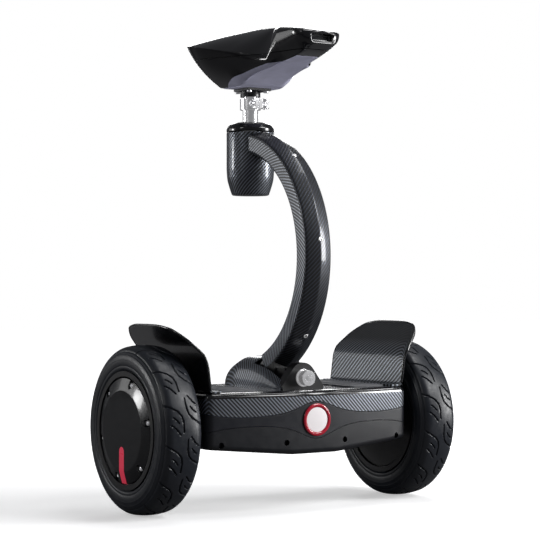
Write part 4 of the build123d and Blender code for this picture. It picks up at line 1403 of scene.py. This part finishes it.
    def notch(self, number: int) -> bpy.types.Object:
        """Cutter of one U-shaped screw notch, open at the rim.

        Args:
            number: Which of the six.

        Returns:
            The cutter.
        """
        half, seat, top = 5.4 * MM, self.screw_seat, self.disc_stand + 4 * MM
        round_part = [
            (self.screw_radius + half * math.cos(math.radians(turn)), half * math.sin(math.radians(turn)))
            for turn in range(90, 271, 15)
        ]
        outline = [(self.cover_radius + 6 * MM, half), *round_part, (self.cover_radius + 6 * MM, -half)]
        base = math.radians(self.screw_phase + 360 / self.screw_count * number)
        rows = []
        for height in (seat, top):
            row = []
            for along, across in outline:
                y = along * math.sin(base) + across * math.cos(base)
                z = along * math.cos(base) - across * math.sin(base)
                row.append((self.middle.x + self.side.value * height, self.middle.y + y, self.middle.z + z))
            rows.append(row)
        count = len(outline)
        faces = [tuple(range(count)), tuple(range(count, 2 * count))]
        faces += [(i, (i + 1) % count, (i + 1) % count + count, i + count) for i in range(count)]
        mesh = bpy.data.meshes.new("notch")
        mesh.from_pydata([*rows[0], *rows[1]], [], faces)
        mesh.uv_layers.new(name=WEAVE)
        return dressed("notch", mesh, Paint.HUB)

    def stripe(self) -> None:
        """Painted stripe that runs from near the middle down over the rim of the cover."""
        half = self.stripe_width / 2
        rise = 0.12 * MM
        rows = []
        down = [self.stripe_top + half * share for share in (0.0, 0.12, 0.35, 0.65, 1.0)]
        down += list(np.linspace(self.stripe_top + half, self.disc_radius - 1.4 * MM, 6)[1:])
        down += list(np.linspace(self.disc_radius + 0.5 * MM, self.cover_radius - 0.9 * MM, 6))
        stands = [self.stand(value) + rise for value in down]
        down += [self.cover_radius + rise, self.cover_radius + rise]
        stands += [self.rim_stand - 0.8 * MM, self.rim_stand - 2.4 * MM]
        columns = np.linspace(-1, 1, 13)
        for distance, stand in zip(down, stands):
            short = max(0.0, 1 - (distance - self.stripe_top) / half)
            width = half * math.sqrt(max(0.0, 1 - short * short))
            row = []
            for share in columns:
                across = share * max(width, 0.2 * MM)
                x = self.middle.x + self.side.value * stand
                row.append((x, self.middle.y + across, self.middle.z - distance))
            rows.append(row)
        points = np.array(rows)
        sheet = Patch(points, points[..., 1:])
        item = piece(self.node("stripe"), [sheet], Paint.STRIPE, 60, closed=False)
        self.face_outboard(item)
        baked(walled(item, 0.1 * MM))
        adopt(item, self.body, "red_gloss")

    def stand(self, radius: float) -> float:
        """Height of the cover's face at a radius."""
        if radius < self.disc_radius:
            return self.disc_stand + 0.25 * MM
        share = (radius - self.disc_radius) / (self.cover_radius - self.disc_radius)
        return self.disc_stand + (self.rim_stand - self.disc_stand) * share

    def face_outboard(self, item: bpy.types.Object) -> None:
        """Turn a sheet's faces to the outside of the wheel."""
        total = sum((face.normal * face.area for face in item.data.polygons), Vector())
        if total.x * self.side.value < 0:
            item.data.flip_normals()

    def screws(self) -> None:
        """Ring of bright cap screws in the notches."""
        facing = Vector((self.side.value, 0, 0))
        template = self.screw.template("ring_screw", facing, Paint.STEEL)
        item = self.repeaters.ring.grow(
            self.node("hub_screws_piece"), Template=template, Count=self.screw_count,
            Radius=self.screw_radius, Phase=math.radians(self.screw_phase),
            Middle=self.middle + facing * self.screw_seat, Finish=PALETTE.get(Paint.STEEL),
        )
        discard(template)
        adopt(item, self.body, "black_steel", self.node("hub_screws"))


# ------------------------------------------------------------------ chassis


@dataclass
class ChassisBody:
    """Deck cover, middle band, belly pan and the lip along the deck."""

    lip_height: float = 183.6 * MM
    lip_dip: float = 3.2 * MM
    lip_half: float = 1.5 * MM
    lip_inset: float = 2.2 * MM
    lip_flattening: float = 1.3
    dip_width: float = 30 * MM
    taper_length: float = 20 * MM
    fillet_start: float = 178.6 * MM
    end_inset: float = 12 * MM
    end_depth: float = 100 * MM

    def build(self) -> None:
        """Make the chassis shells."""
        self.deck()
        self.lips()
        Copy("mid_band", "chassis", "satin_grey", Paint.SATIN_GREY, 0.5 * MM).build()
        Copy("belly_pan", "chassis", "satin_black", Paint.SATIN_BLACK, 0.6 * MM).build()
        Copy("belly_screws", "chassis", "black_steel", Paint.DARK_STEEL, 0.4 * MM).build()

    def deck(self) -> None:
        """Carbon band round the side, glossy top."""
        item = polished("deck_cover", Paint.CARBON)
        work = bmesh.new()
        work.from_mesh(item.data)
        geometry = [*work.verts, *work.edges, *work.faces]
        bmesh.ops.bisect_plane(work, geom=geometry, plane_co=(0, 0, self.fillet_start), plane_no=(0, 0, 1))
        layer = work.loops.layers.uv[WEAVE]
        for face in work.faces:
            if face.calc_center_median().z > self.fillet_start:
                face.material_index = 1
            for loop in face.loops:
                loop[layer].uv.x *= -1
        work.to_mesh(item.data)
        work.free()
        item.data.materials.append(PALETTE.get(Paint.GLOSS))
        baked(bevelled(item, 0.5 * MM, 40))
        adopt(item, "chassis", "carbon_shell", "deck_cover")

    def lips(self) -> None:
        """Flowing bead along the front and rear edges of the deck."""
        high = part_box("deck_cover")[1]
        half = high.x - self.end_inset
        across = np.linspace(-half, half, 121)
        middle = high.y
        bow = middle - self.end_depth
        radius = (high.x**2 + bow**2) / (2 * bow)
        face = middle - radius + np.sqrt(radius**2 - across**2)
        height = self.lip_height - self.lip_dip * np.exp(-((across / self.dip_width) ** 2))
        turn = np.linspace(0, 2 * math.pi, 13)
        beads = []
        for side in (-1, 1):
            y = side * (face - self.lip_inset)
            taper = np.clip((half - np.abs(across)) / self.taper_length, 0.15, 1.0)[:, None]
            ring_y = y[:, None] + side * self.lip_half * self.lip_flattening * taper * np.cos(turn)[None]
            ring_z = height[:, None] + self.lip_half * taper * np.sin(turn)[None]
            points = np.stack([np.repeat(across[:, None], len(turn), 1), ring_y, ring_z], -1)
            beads.append(Patch(points, points[..., :2]))
        item = piece("deck_lips", beads, Paint.GLOSS, 60)
        adopt(item, "chassis", "black_gloss")


@dataclass
class FootMat:
    """Rubber mat with its row of ribs."""

    side: Side
    repeaters: Repeaters
    ribs: int = 15
    border: float = 6 * MM
    end_margin: float = 10 * MM
    corner: float = 10 * MM
    soft_edge: float = 0.8 * MM
    rib_half: float = 2.6 * MM
    rise: float = 1.3 * MM

    def build(self) -> None:
        """Make the mat as one piece."""
        node = f"{self.side.word}_foot_mat"
        low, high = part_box(node)
        top = high.z - self.rise * 0.6
        half_x, half_y = (high.x - low.x) / 2, (high.y - low.y) / 2
        middle = (low + high) / 2
        slab = self.slab(middle, half_x, half_y, low.z, top)
        template = self.rib(half_x - self.border)
        step = (2 * half_y - 2 * self.end_margin) / (self.ribs - 1)
        row = self.repeaters.row.grow(
            "ribs", Template=template, Count=self.ribs,
            Start=Vector((middle.x, middle.y - half_y + self.end_margin, top)), Step=Vector((0, step, 0)),
            Finish=PALETTE.get(Paint.MAT),
        )
        discard(template)
        adopt(joined(f"{node}_piece", [slab, row]), "chassis", "grey_rubber", node)

    def slab(self, middle: Vector, half_x: float, half_y: float, low: float, top: float) -> bpy.types.Object:
        """Flat mat with round corners and a soft top edge.

        Args:
            middle: Middle of the mat.
            half_x: Half its width.
            half_y: Half its depth.
            low: Height of its underside.
            top: Height of its top.

        Returns:
            The slab.
        """
        corner = self.corner
        soft = self.soft_edge
        levels = (
            (0.0, low), (0.0, top - soft), (0.25 * MM, top - 0.25 * MM), (soft, top), (4 * MM, top)
        )
        rows = []
        for inset, z in levels:
            ring = []
            for quarter in range(4):
                sx, sy = ((1, 1), (-1, 1), (-1, -1), (1, -1))[quarter]
                for share in range(9):
                    turn = math.radians(90 * quarter + 90 * share / 8)
                    ring.append((
                        middle.x + sx * (half_x - corner) + (corner - inset) * math.cos(turn),
                        middle.y + sy * (half_y - corner) + (corner - inset) * math.sin(turn),
                        z,
                    ))
            ring.append(ring[0])
            rows.append(ring)
        points = np.array(rows)
        return piece("slab", [Patch(points, points[..., :2])], Paint.MAT, 50, caps=(0, -1))

    def rib(self, half: float) -> bpy.types.Object:
        """One rounded rib across the mat."""
        turn = np.linspace(0, math.pi, 9)
        shares = np.array([-1.0, -0.985, -0.94, 0.94, 0.985, 1.0])
        size = np.array([0.05, 0.7, 1.0, 1.0, 0.7, 0.05])
        x = np.repeat((shares * half)[:, None], 9, 1)
        y = size[:, None] * self.rib_half * np.cos(turn)[None]
        z = size[:, None] * self.rise * np.sin(turn)[None]
        points = np.stack([x, y, z], -1)
        return piece("rib", [Patch(points, points[..., :2])], Paint.MAT, 60)


@dataclass
class Fender:
    """Carbon wall on the deck with a glossy ear over the tyre."""

    side: Side
    thickness: float = 3.0 * MM
    foot_inner: float = 160 * MM
    wall_foot: float = 178 * MM
    wall_top: tuple[float, float] = (182.4 * MM, 224 * MM)
    curl_radius: float = 46 * MM
    half_depth: float = 98 * MM
    lip: float = 2.1 * MM
    reach: tuple[float, ...] = (0.2325, 0.2322, 0.2285, 0.2135, 0.190)
    stations: tuple[float, ...] = (0.0, 0.030, 0.060, 0.085, 0.098)
    columns: int = 71
    lip_start: int = 5
    weave_scale: float = 0.72

    def build(self) -> None:
        """Make the sheet and the bead along its edge."""
        node = f"{self.side.word}_fender"
        grid = self.grid()
        down = running_length(grid[:, self.columns // 2])
        weave = self.weave_scale * np.stack([-grid[..., 1], np.repeat(down[:, None], self.columns, 1)], -1)
        item = piece(f"{node}_piece", [Patch(grid, weave)], Paint.CARBON_FENDER, 60, closed=False)
        if item.data.polygons[0].normal.z < 0:
            item.data.flip_normals()
        item.data.materials.append(PALETTE.get(Paint.GLOSS))
        walled(item, self.thickness, 0.0).modifiers["wall"].material_offset = 1
        baked(bevelled(item, 0.9 * MM, 50, 3))
        adopt(item, "chassis", "carbon_shell", node)
        sides = grid[self.lip_start:]
        edge = np.concatenate([sides[:, 0], grid[-1, 1:-1], sides[:, -1][::-1]])
        lip = piece(f"{node}_lip", [tube(edge, self.lip)], Paint.GLOSS, 70)
        adopt(lip, "chassis", "black_gloss")

    def grid(self) -> np.ndarray:
        """Middle surface of the sheet, from the foot over the wall to the edge of the ear.

        Returns:
            Points by row from the foot and by column from the front.
        """
        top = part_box("deck_cover")[1].z + self.thickness / 2
        foot = softened(
            [(self.foot_inner, top), (self.wall_foot - 2 * MM, top),
             (self.wall_foot + 0.4 * MM, top + 6 * MM), self.wall_top],
            6 * MM, 7,
        )
        wall_end = math.radians(83)
        turn = np.linspace(wall_end, math.pi / 4, 12)
        radius = self.curl_radius
        curl_x = self.wall_top[0] + radius * (math.sin(wall_end) - np.sin(turn))
        curl_z = self.wall_top[1] + radius * (np.cos(turn) - math.cos(wall_end))
        run = np.linspace(0, 0.06, 24)[1:]
        ear_x = np.concatenate([curl_x, curl_x[-1] + run])
        ear_z = np.concatenate([curl_z, curl_z[-1] + run])
        length = running_length(np.stack([ear_x, ear_z], -1))
        across = np.linspace(-self.half_depth, self.half_depth, self.columns)
        edge = smooth_line(self.stations, self.reach, np.abs(across))
        limit = np.interp(edge, ear_x, length)
        ones = np.ones(self.columns)
        rows = [np.stack([x * ones, across, z * ones], -1) for x, z in foot[:-1]]
        for share in np.linspace(0, 1, 22):
            spot = limit * share
            x, z = np.interp(spot, length, ear_x), np.interp(spot, length, ear_z)
            rows.append(np.stack([x, across, z], -1))
        return np.array(rows) * (self.side.value, 1, 1)


@dataclass
class StemCowl:
    """Smooth hump over the stem's base, open along the top where the stem leans."""

    places: tuple = (-78, -61, -20, 20, 50, 80, 98, 108)
    heights: tuple = (8, 22, 41, 48, 48, 38, 24, 0.8)
    halves: tuple = (40.5, 42, 42, 42, 42, 40, 34, 14)
    power: float = 2.5
    slot_half: float = 31.5 * MM
    slot_end: float = 15 * MM
    slot_length: float = 0.16
    slot_height: float = 0.2
    slot_level: float = 0.22
    wall: float = 2.4 * MM

    def build(self) -> None:
        """Make the cowl."""
        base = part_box("stem_cowl")[0].z
        at = np.linspace(self.places[0], self.places[-1], 70)
        tall = smooth_line(self.places, self.heights, at)
        half = smooth_line(self.places, self.halves, at)
        turn = np.linspace(0, math.pi, 61)
        rows = []
        for y, high, wide in zip(at, tall, half):
            x = wide * np.sign(np.cos(turn)) * np.abs(np.cos(turn)) ** (2 / self.power)
            z = high * np.abs(np.sin(turn)) ** (2 / self.power)
            rows.append(np.stack([x, np.full(61, y), base / MM + z], -1))
        points = np.array(rows) * MM
        around = np.stack([running_length(row) for row in points])
        weave = np.stack([-points[..., 1], around], -1)
        item = piece("stem_cowl_piece", [Patch(points, weave)], Paint.CARBON, 60, closed=False)
        if item.data.polygons[len(item.data.polygons) // 2].normal.z < 0:
            item.data.flip_normals()
        walled(item, self.wall)
        self.cut_slot(item)
        baked(bevelled(item, 0.5 * MM, 50))
        adopt(item, "chassis", "carbon_shell", "stem_cowl")

    def cut_slot(self, item: bpy.types.Object) -> None:
        """Open the cowl over the stem's foot."""
        size = (2 * self.slot_half, self.slot_length, self.slot_height)
        middle = (0, self.slot_end - self.slot_length / 2, self.slot_level)
        carved(item, box_cutter("slot", size, middle, Paint.CARBON))


@dataclass
class Badge:
    """Round reflector on the front."""

    def build(self) -> None:
        """Make the red rim and the pearl lens."""
        low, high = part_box("badge_bezel")
        middle = (low + high) / 2
        outer = (high.x - low.x) / 2
        front = low.y

        def place(height: np.ndarray, radius: np.ndarray, angle: np.ndarray) -> np.ndarray:
            """Badge point, height to the front."""
            across, up = radius * np.cos(angle), radius * np.sin(angle)
            return np.stack([middle.x + across, front - height, middle.z + up], -1)

        ring = softened(
            [(-7 * MM, outer - 4 * MM), (-2.3 * MM, outer - 4 * MM), (-2.3 * MM, outer), (-0.9 * MM, outer),
             (0.0, outer - 1.6 * MM), (0.0, outer - 4 * MM), (-1.2 * MM, outer - 5.9 * MM),
             (-7 * MM, outer - 5.9 * MM), (-7 * MM, outer - 4 * MM)],
            0.8 * MM, 4,
        )
        rim = piece("badge_bezel_piece", [lathe(ring, place, 96)], Paint.RED, 40)
        adopt(rim, "chassis", "red_gloss", "badge_bezel")
        radius = outer - 6.05 * MM
        dome = [(-6 * MM, 0.0), (-6 * MM, radius), (-1.5 * MM, radius)]
        shares = (0.9, 0.7, 0.5, 0.3, 0.1, 0.0)
        dome += [(-1.5 * MM + 1.1 * MM * (1 - share**2), radius * share) for share in shares]
        lens = piece("badge_lens_piece", [lathe(np.array(dome), place, 96)], Paint.PEARL, 40)
        adopt(lens, "chassis", "pearl_lens", "badge_lens")


# ------------------------------------------------------------------ stem


@dataclass
class Stem:
    """C-shaped stem: carbon rear channel and crowned front strip."""

    axis_y: float = 77 * MM
    axis_z: float = 394 * MM
    inner: float = 170 * MM
    outer: float = 197 * MM
    half: float = 23.5 * MM
    wall: float = 2.6 * MM
    crown: float = 10 * MM
    start: float = -65.0
    end: float = 81.0
    steps: int = 120
    screw_angles: tuple[float, ...] = (-37.0, 7.0, 50.0)
    screw: CapScrew = field(default_factory=lambda: CapScrew(7.6 * MM, 2.4 * MM, 3.2 * MM))

    def build(self) -> None:
        """Make both covers and the ridge screws."""
        wall, half, low, high = self.wall, self.half, self.inner, self.outer
        channel = [
            (-half + wall, high), (-half + 0.3 * MM, high), (-half, high - 0.3 * MM), (-half, low + 4 * MM),
            (-half + 4 * MM, low), (half - 4 * MM, low), (half, low + 4 * MM), (half, high - 0.3 * MM),
            (half - 0.3 * MM, high), (half - wall, high), (half - wall, low + 5 * MM),
            (half - 5 * MM, low + wall), (-half + 5 * MM, low + wall), (-half + wall, low + 5 * MM),
            (-half + wall, high),
        ]
        # The rear cover takes the lighter carbon copy, which is painted light.
        rear = self.sweep("stem_rear_cover_piece", softened(channel, 2.2 * MM, 5), Paint.CARBON_LIGHT)
        adopt(rear, "stem", "light_carbon", "stem_rear_cover")
        seat = high + 0.3 * MM
        ridge = high + self.crown
        strip = [
            (0.0, ridge - 4 * MM), (-half + 4 * MM, seat), (-half, seat), (-half + 0.4 * MM, seat + 2.2 * MM),
            (-half + 3.0 * MM, seat + 3.9 * MM), (-half * 0.45, ridge - 2.6 * MM),
            (-2.0 * MM, ridge - 0.35 * MM), (0.0, ridge), (2.0 * MM, ridge - 0.35 * MM),
            (half * 0.45, ridge - 2.6 * MM),
            (half - 3.0 * MM, seat + 3.9 * MM), (half - 0.4 * MM, seat + 2.2 * MM), (half, seat),
            (half - 4 * MM, seat), (0.0, ridge - 4 * MM),
        ]
        # The front strip takes the darker carbon copy, which is painted shade.
        front = self.sweep("stem_front_cover_piece", softened(strip, 1.6 * MM, 4), Paint.CARBON_DARK)
        adopt(front, "stem", "carbon_shell", "stem_front_cover")
        self.screws(ridge)

    def point(self, radius: float, angle: float) -> tuple[float, float]:
        """The (y, z) point at a radius and an angle in degrees above straight ahead."""
        turn = math.radians(angle)
        return self.axis_y - radius * math.cos(turn), self.axis_z + radius * math.sin(turn)

    def sweep(self, name: str, path: np.ndarray, paint: Paint) -> bpy.types.Object:
        """Sweep a (x, radius) section along the stem.

        Args:
            name: Name of the piece.
            path: Closed section.
            paint: Finish.

        Returns:
            The cover.
        """
        angle = np.radians(np.linspace(self.start, self.end, self.steps))[:, None]
        x = np.repeat(path[:, 0][None], self.steps, 0)
        y = self.axis_y - path[:, 1][None] * np.cos(angle)
        z = self.axis_z + path[:, 1][None] * np.sin(angle)
        along = np.repeat(angle * (self.inner + self.outer) / 2, len(path), 1)
        around = np.repeat(running_length(path)[None], self.steps, 0)
        patch = Patch(np.stack([x, y, z], -1), np.stack([around, along], -1))
        return piece(name, [patch], paint, 30, caps=(0, -1))

    def screws(self, ridge: float) -> None:
        """Bright screws along the ridge."""
        items = []
        for angle in self.screw_angles:
            y, z = self.point(ridge - 1.7 * MM, angle)
            turn = math.radians(angle)
            facing = Vector((0, -math.cos(turn), math.sin(turn)))
            item = self.screw.template("ridge_screw", facing, Paint.CHROME)
            item.data.transform(Matrix.Translation((0, y, z)))
            items.append(item)
        item = joined("stem_cover_screws_piece", items)
        adopt(item, "stem", "chrome_bright", "stem_cover_screws")


@dataclass
class PostHousing:
    """Barrel housing with its stepped collar."""

    foot: float = 30.5 * MM
    wall: float = 3 * MM
    taper: float = 33 * MM
    bore: float = 12.75 * MM
    steps: int = 120

    def build(self) -> None:
        """Make the housing and its collar."""
        low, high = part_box("housing_shell")
        tube_low, tube_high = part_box("seat_tube")
        self.axis_y = tube_low.y + (tube_high.y - tube_low.y) / 2
        radius = (high.x - low.x) / 2
        foot, wall = self.foot, self.wall
        bottom, taper = low.z, low.z + self.taper
        barrel = softened(
            [(bottom, 0.0), (bottom, foot - 1.5 * MM), (bottom + 1.5 * MM, foot),
             (bottom + 12 * MM, foot + 3.6 * MM), (bottom + 25 * MM, radius - 1.3 * MM),
             (taper + 9 * MM, radius), (high.z - 0.6 * MM, radius), (high.z, radius - 0.6 * MM),
             (high.z, radius - wall),
             (taper, radius - wall), (bottom + wall, foot - wall), (bottom + wall, 0.0)],
            5.0 * MM, 6,
        )
        shell = piece("housing_shell_piece", [lathe(barrel, self.place, self.steps)], Paint.CARBON, 30)
        adopt(shell, "stem", "carbon_shell", "housing_shell")
        ring_low, ring_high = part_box("housing_collar")
        base, top = ring_low.z, ring_high.z
        bore = self.bore
        collar = softened(
            [(base, bore), (base, radius), (base + 5.6 * MM, radius), (top - 4 * MM, radius - 4 * MM),
             (top - 0.3 * MM, radius - 12 * MM), (top - 0.3 * MM, 18 * MM), (top, 17.6 * MM), (top, bore),
             (base, bore)],
            1.4 * MM, 5,
        )
        ring = piece("housing_collar_piece", [lathe(collar, self.place, self.steps)], Paint.GLOSS, 30)
        adopt(ring, "stem", "black_gloss", "housing_collar")

    def place(self, height: np.ndarray, radius: np.ndarray, angle: np.ndarray) -> np.ndarray:
        """Point about the seat post's axis."""
        return np.stack([radius * np.cos(angle), self.axis_y + radius * np.sin(angle), height], -1)


# ------------------------------------------------------------------ saddle


@dataclass
class Saddle:
    """Glossy pad and lower shell over the base plate."""

    plan: tuple = ((-134, 22), (-128, 35), (-110, 41), (-75, 42), (-45, 41), (-30, 43), (30, 72), (90, 102),
                   (130, 88), (155, 50), (161, 22))
    rim: tuple = ((-134, 735), (-110, 741), (-68, 741), (-53, 727), (-40, 708), (30, 720), (90, 732),
                  (161, 744))
    crown: tuple = ((-134, 739), (-90, 749), (-20, 757), (20, 761), (70, 764), (161, 765))
    foot_plan: tuple = ((-134, 14), (-110, 20), (-66, 25), (-12, 34), (45, 40), (95, 41), (125, 36),
                        (161, 15))
    foot: tuple = ((-134, 718), (-110, 708), (-66, 699), (-25, 691), (20, 681), (44, 669), (92, 669),
                   (125, 682), (161, 716))
    crease_front: float = -42
    crease_back: float = -6
    seam: float = 711.5
    gap: float = 0.45
    recess_size: Spot = (0.038, 0.030, 0.0115)
    recess_middle: Spot = (0, -0.140, 0.728)

    def stations(self) -> np.ndarray:
        """Positions along Y, closer together at the crease and the ends."""
        bands = (
            (-134, -127, 7), (-127, -60, 26), (-60, -20, 50), (-20, 100, 44), (100, 150, 22), (150, 161, 12)
        )
        return np.unique(np.concatenate([np.linspace(*band) for band in bands]))

    @staticmethod
    def line(points: tuple, at: np.ndarray, soft: bool = True) -> np.ndarray:
        """Read an outline list along Y.

        Args:
            points: The (Y, value) stations.
            at: Positions to read.
            soft: True for a smooth curve, False for straight runs.

        Returns:
            The values.
        """
        places, values = zip(*points)
        return smooth_line(places, values, at) if soft else np.interp(at, places, values)

    def section(self, y: float) -> np.ndarray:
        """Right half of the section that meets the rim at y, from the ridge down to the middle of the foot.

        Args:
            y: Where the section meets the rim.

        Returns:
            Points as (x, y, z); near the crease the section slants back towards the ridge.
        """
        share = np.linspace(0, 1, 30)
        slant = (self.crease_back - self.crease_front) * float(np.exp(-(((y - self.crease_front) / 34) ** 2)))
        places = y + slant * (1 - share)
        half = float(self.line(self.plan, np.array([y]))[0])
        rim = float(self.eased_rim(np.array([y]))[0])
        crown = self.line(self.crown, places)
        nose = 1 - float(smooth_steps(-60, -40, np.array([y]))[0])
        power = 1.12 + 2.3 * nose
        fall = share**power
        fall = (1 - nose) * fall + nose * (1 - np.sqrt(np.clip(1 - share**3.2, 0, 1)))
        height = crown[0] - (crown[0] - rim) * fall + (crown - crown[0]) * (1 - share)
        top = np.stack([half * share, places, height], -1)
        foot_half = min(float(self.line(self.foot_plan, np.array([y]))[0]), half - 2)
        foot = float(self.line(self.foot, np.array([y]))[0])
        belly = ((half + foot_half) / 2 + 4, (rim + foot) / 2 - 5)
        side = arc_points((half, rim), belly, (foot_half, foot), 30)[1:]
        under = np.stack([np.linspace(foot_half, 0, 6)[1:], np.full(5, foot)], -1)
        flat = np.concatenate([side, under])
        low = np.stack([flat[:, 0], np.full(len(flat), y), flat[:, 1]], -1)
        return np.concatenate([top, low])

    def eased_rim(self, at: np.ndarray) -> np.ndarray:
        """The rim's height with slightly rounded corners."""
        fine = np.linspace(-134, 161, 1200)
        kernel = np.hanning(23)
        padded = np.pad(self.line(self.rim, fine, False), 11, mode="edge")
        return np.interp(at, fine, np.convolve(padded, kernel / kernel.sum(), "valid"))

    def skin(self) -> bpy.types.Object:
        """Closed skin of pad and shell together."""
        rows = []
        for y in self.stations():
            right = self.section(float(y))
            left = right[::-1] * (-1, 1, 1)
            rows.append(np.concatenate([right, left[1:]]))
        points = np.array(rows) * MM
        item = piece("saddle_skin", [Patch(points, points[..., :2])], Paint.SEAT, 24, caps=(0, -1))
        return baked(bevelled(item, 1.3 * MM, 30, 3))

    def part(self, skin: bpy.types.Object, name: str, upper: bool) -> bpy.types.Object:
        """Cut the skin at the seam and close it.

        Args:
            skin: The whole skin.
            name: Name of the part.
            upper: True for the pad, False for the shell.

        Returns:
            The part.
        """
        work = bmesh.new()
        work.from_mesh(skin.data)
        level = (self.seam + (self.gap if upper else -self.gap)) * MM
        cut = bmesh.ops.bisect_plane(
            work, geom=[*work.verts, *work.edges, *work.faces], plane_co=(0, 0, level),
            plane_no=(0, 0, 1), clear_inner=upper, clear_outer=not upper,
        )
        rim = [edge for edge in cut["geom_cut"] if isinstance(edge, bmesh.types.BMEdge)]
        bmesh.ops.holes_fill(work, edges=rim, sides=0)
        mesh = bpy.data.meshes.new(name)
        work.to_mesh(mesh)
        work.free()
        return dressed(name, mesh, Paint.SEAT if upper else Paint.SHELL, 32)

    def build(self) -> None:
        """Make the pad and the shell."""
        skin = self.skin()
        pad = self.part(skin, "saddle_pad_piece", True)
        shell = self.part(skin, "saddle_shell_piece", False)
        discard(skin)
        self.recess(pad)
        adopt(pad, "seat", "gloss_pad", "saddle_pad")
        adopt(shell, "seat", "black_gloss", "saddle_shell")

    def recess(self, pad: bpy.types.Object) -> None:
        """Cut the finger recess under the nose."""
        cutter = box_cutter("recess", self.recess_size, self.recess_middle, Paint.SEAT)
        carved(pad, baked(bevelled(cutter, 3.0 * MM, 40, 4)))


# ------------------------------------------------------------------ the rest


COPIES = (
    Copy("pivot_bracket", "chassis", "black_paint", Paint.POWDER, 1.4 * MM),
    Copy("bracket_screws", "chassis", "bright_steel", Paint.STEEL, 0.5 * MM),
    Copy("tail_light", "chassis", "red_lens", Paint.LAMP, 0.8 * MM),
    Copy("charge_socket", "chassis", "satin_black", Paint.SATIN_BLACK, 0.3 * MM),
    Copy("charge_cap", "charge_flap", "black_rubber", Paint.SOFT, 0.5 * MM),
    Copy("power_button", "button", "red_gloss", Paint.RED, 0.7 * MM),
    Copy("wheel_axles", "chassis", "bright_steel", Paint.STEEL, 0.8 * MM),
    Copy("stem_foot", "stem", "black_paint", Paint.POWDER, 1.2 * MM, level=222 * MM),
    Copy("foot_screws", "stem", "chrome_bright", Paint.CHROME, 0.6 * MM),
    Copy("pivot_bolt", "stem", "chrome_bright", Paint.CHROME, 0.9 * MM),
    Copy("seat_tube", "stem", "chrome_bright", Paint.CHROME, 0.3 * MM),
    Copy("clamp_collar", "stem", "chrome_bright", Paint.CHROME, 0.8 * MM),
    Copy("clamp_skewer", "stem", "bright_steel", Paint.STEEL, 0.5 * MM),
    Copy("clamp_lever", "lever", "chrome_bright", Paint.CHROME, 0.9 * MM),
    Copy("seat_post", "seat", "chrome_bright", Paint.CHROME, 0.5 * MM),
    Copy("saddle_clamp", "seat", "black_paint", Paint.POWDER, 0.9 * MM),
    Copy("saddle_base", "seat", "lavender_plate", Paint.PLATE, 0.8 * MM),
    Copy("saddle_screws", "seat", "bright_steel", Paint.STEEL, 0.5 * MM),
)

INNER = {
    "chassis_frame": Paint.ALLOY,
    "axle_clamps": Paint.ALLOY,
    "motor_stators": Paint.LAMINATE,
    "left_magnet_ring": Paint.LAMINATE,
    "right_magnet_ring": Paint.LAMINATE,
    "left_bearings": Paint.STEEL,
    "right_bearings": Paint.STEEL,
    "pivot_bushes": Paint.BRONZE,
    "lean_stops": Paint.SOFT,
    "battery_pack": Paint.WRAP,
    "control_board": Paint.BOARD,
    "stem_tube": Paint.STEEL,
    "post_socket": Paint.ALLOY,
}


def inner_works() -> None:
    """Give the hidden nodes their finishes."""
    for node, paint in INNER.items():
        mesh = bpy.data.objects[node].data
        mesh.materials.clear()
        mesh.materials.append(PALETTE.get(paint))
        log.info("%s keeps its mesh", node)


def main() -> None:
    """Build every piece in order."""
    logging.basicConfig(level=logging.INFO, format="%(name)s: %(message)s")
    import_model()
    Studio().build()
    repeaters = Repeaters()
    for side in Side:
        Wheel(side, repeaters).build()
        FootMat(side, repeaters).build()
        Fender(side).build()
    ChassisBody().build()
    Badge().build()
    StemCowl().build()
    Stem().build()
    PostHousing().build()
    Saddle().build()
    for copy in COPIES:
        copy.build()
    inner_works()


if __name__ == "__main__":
    main()
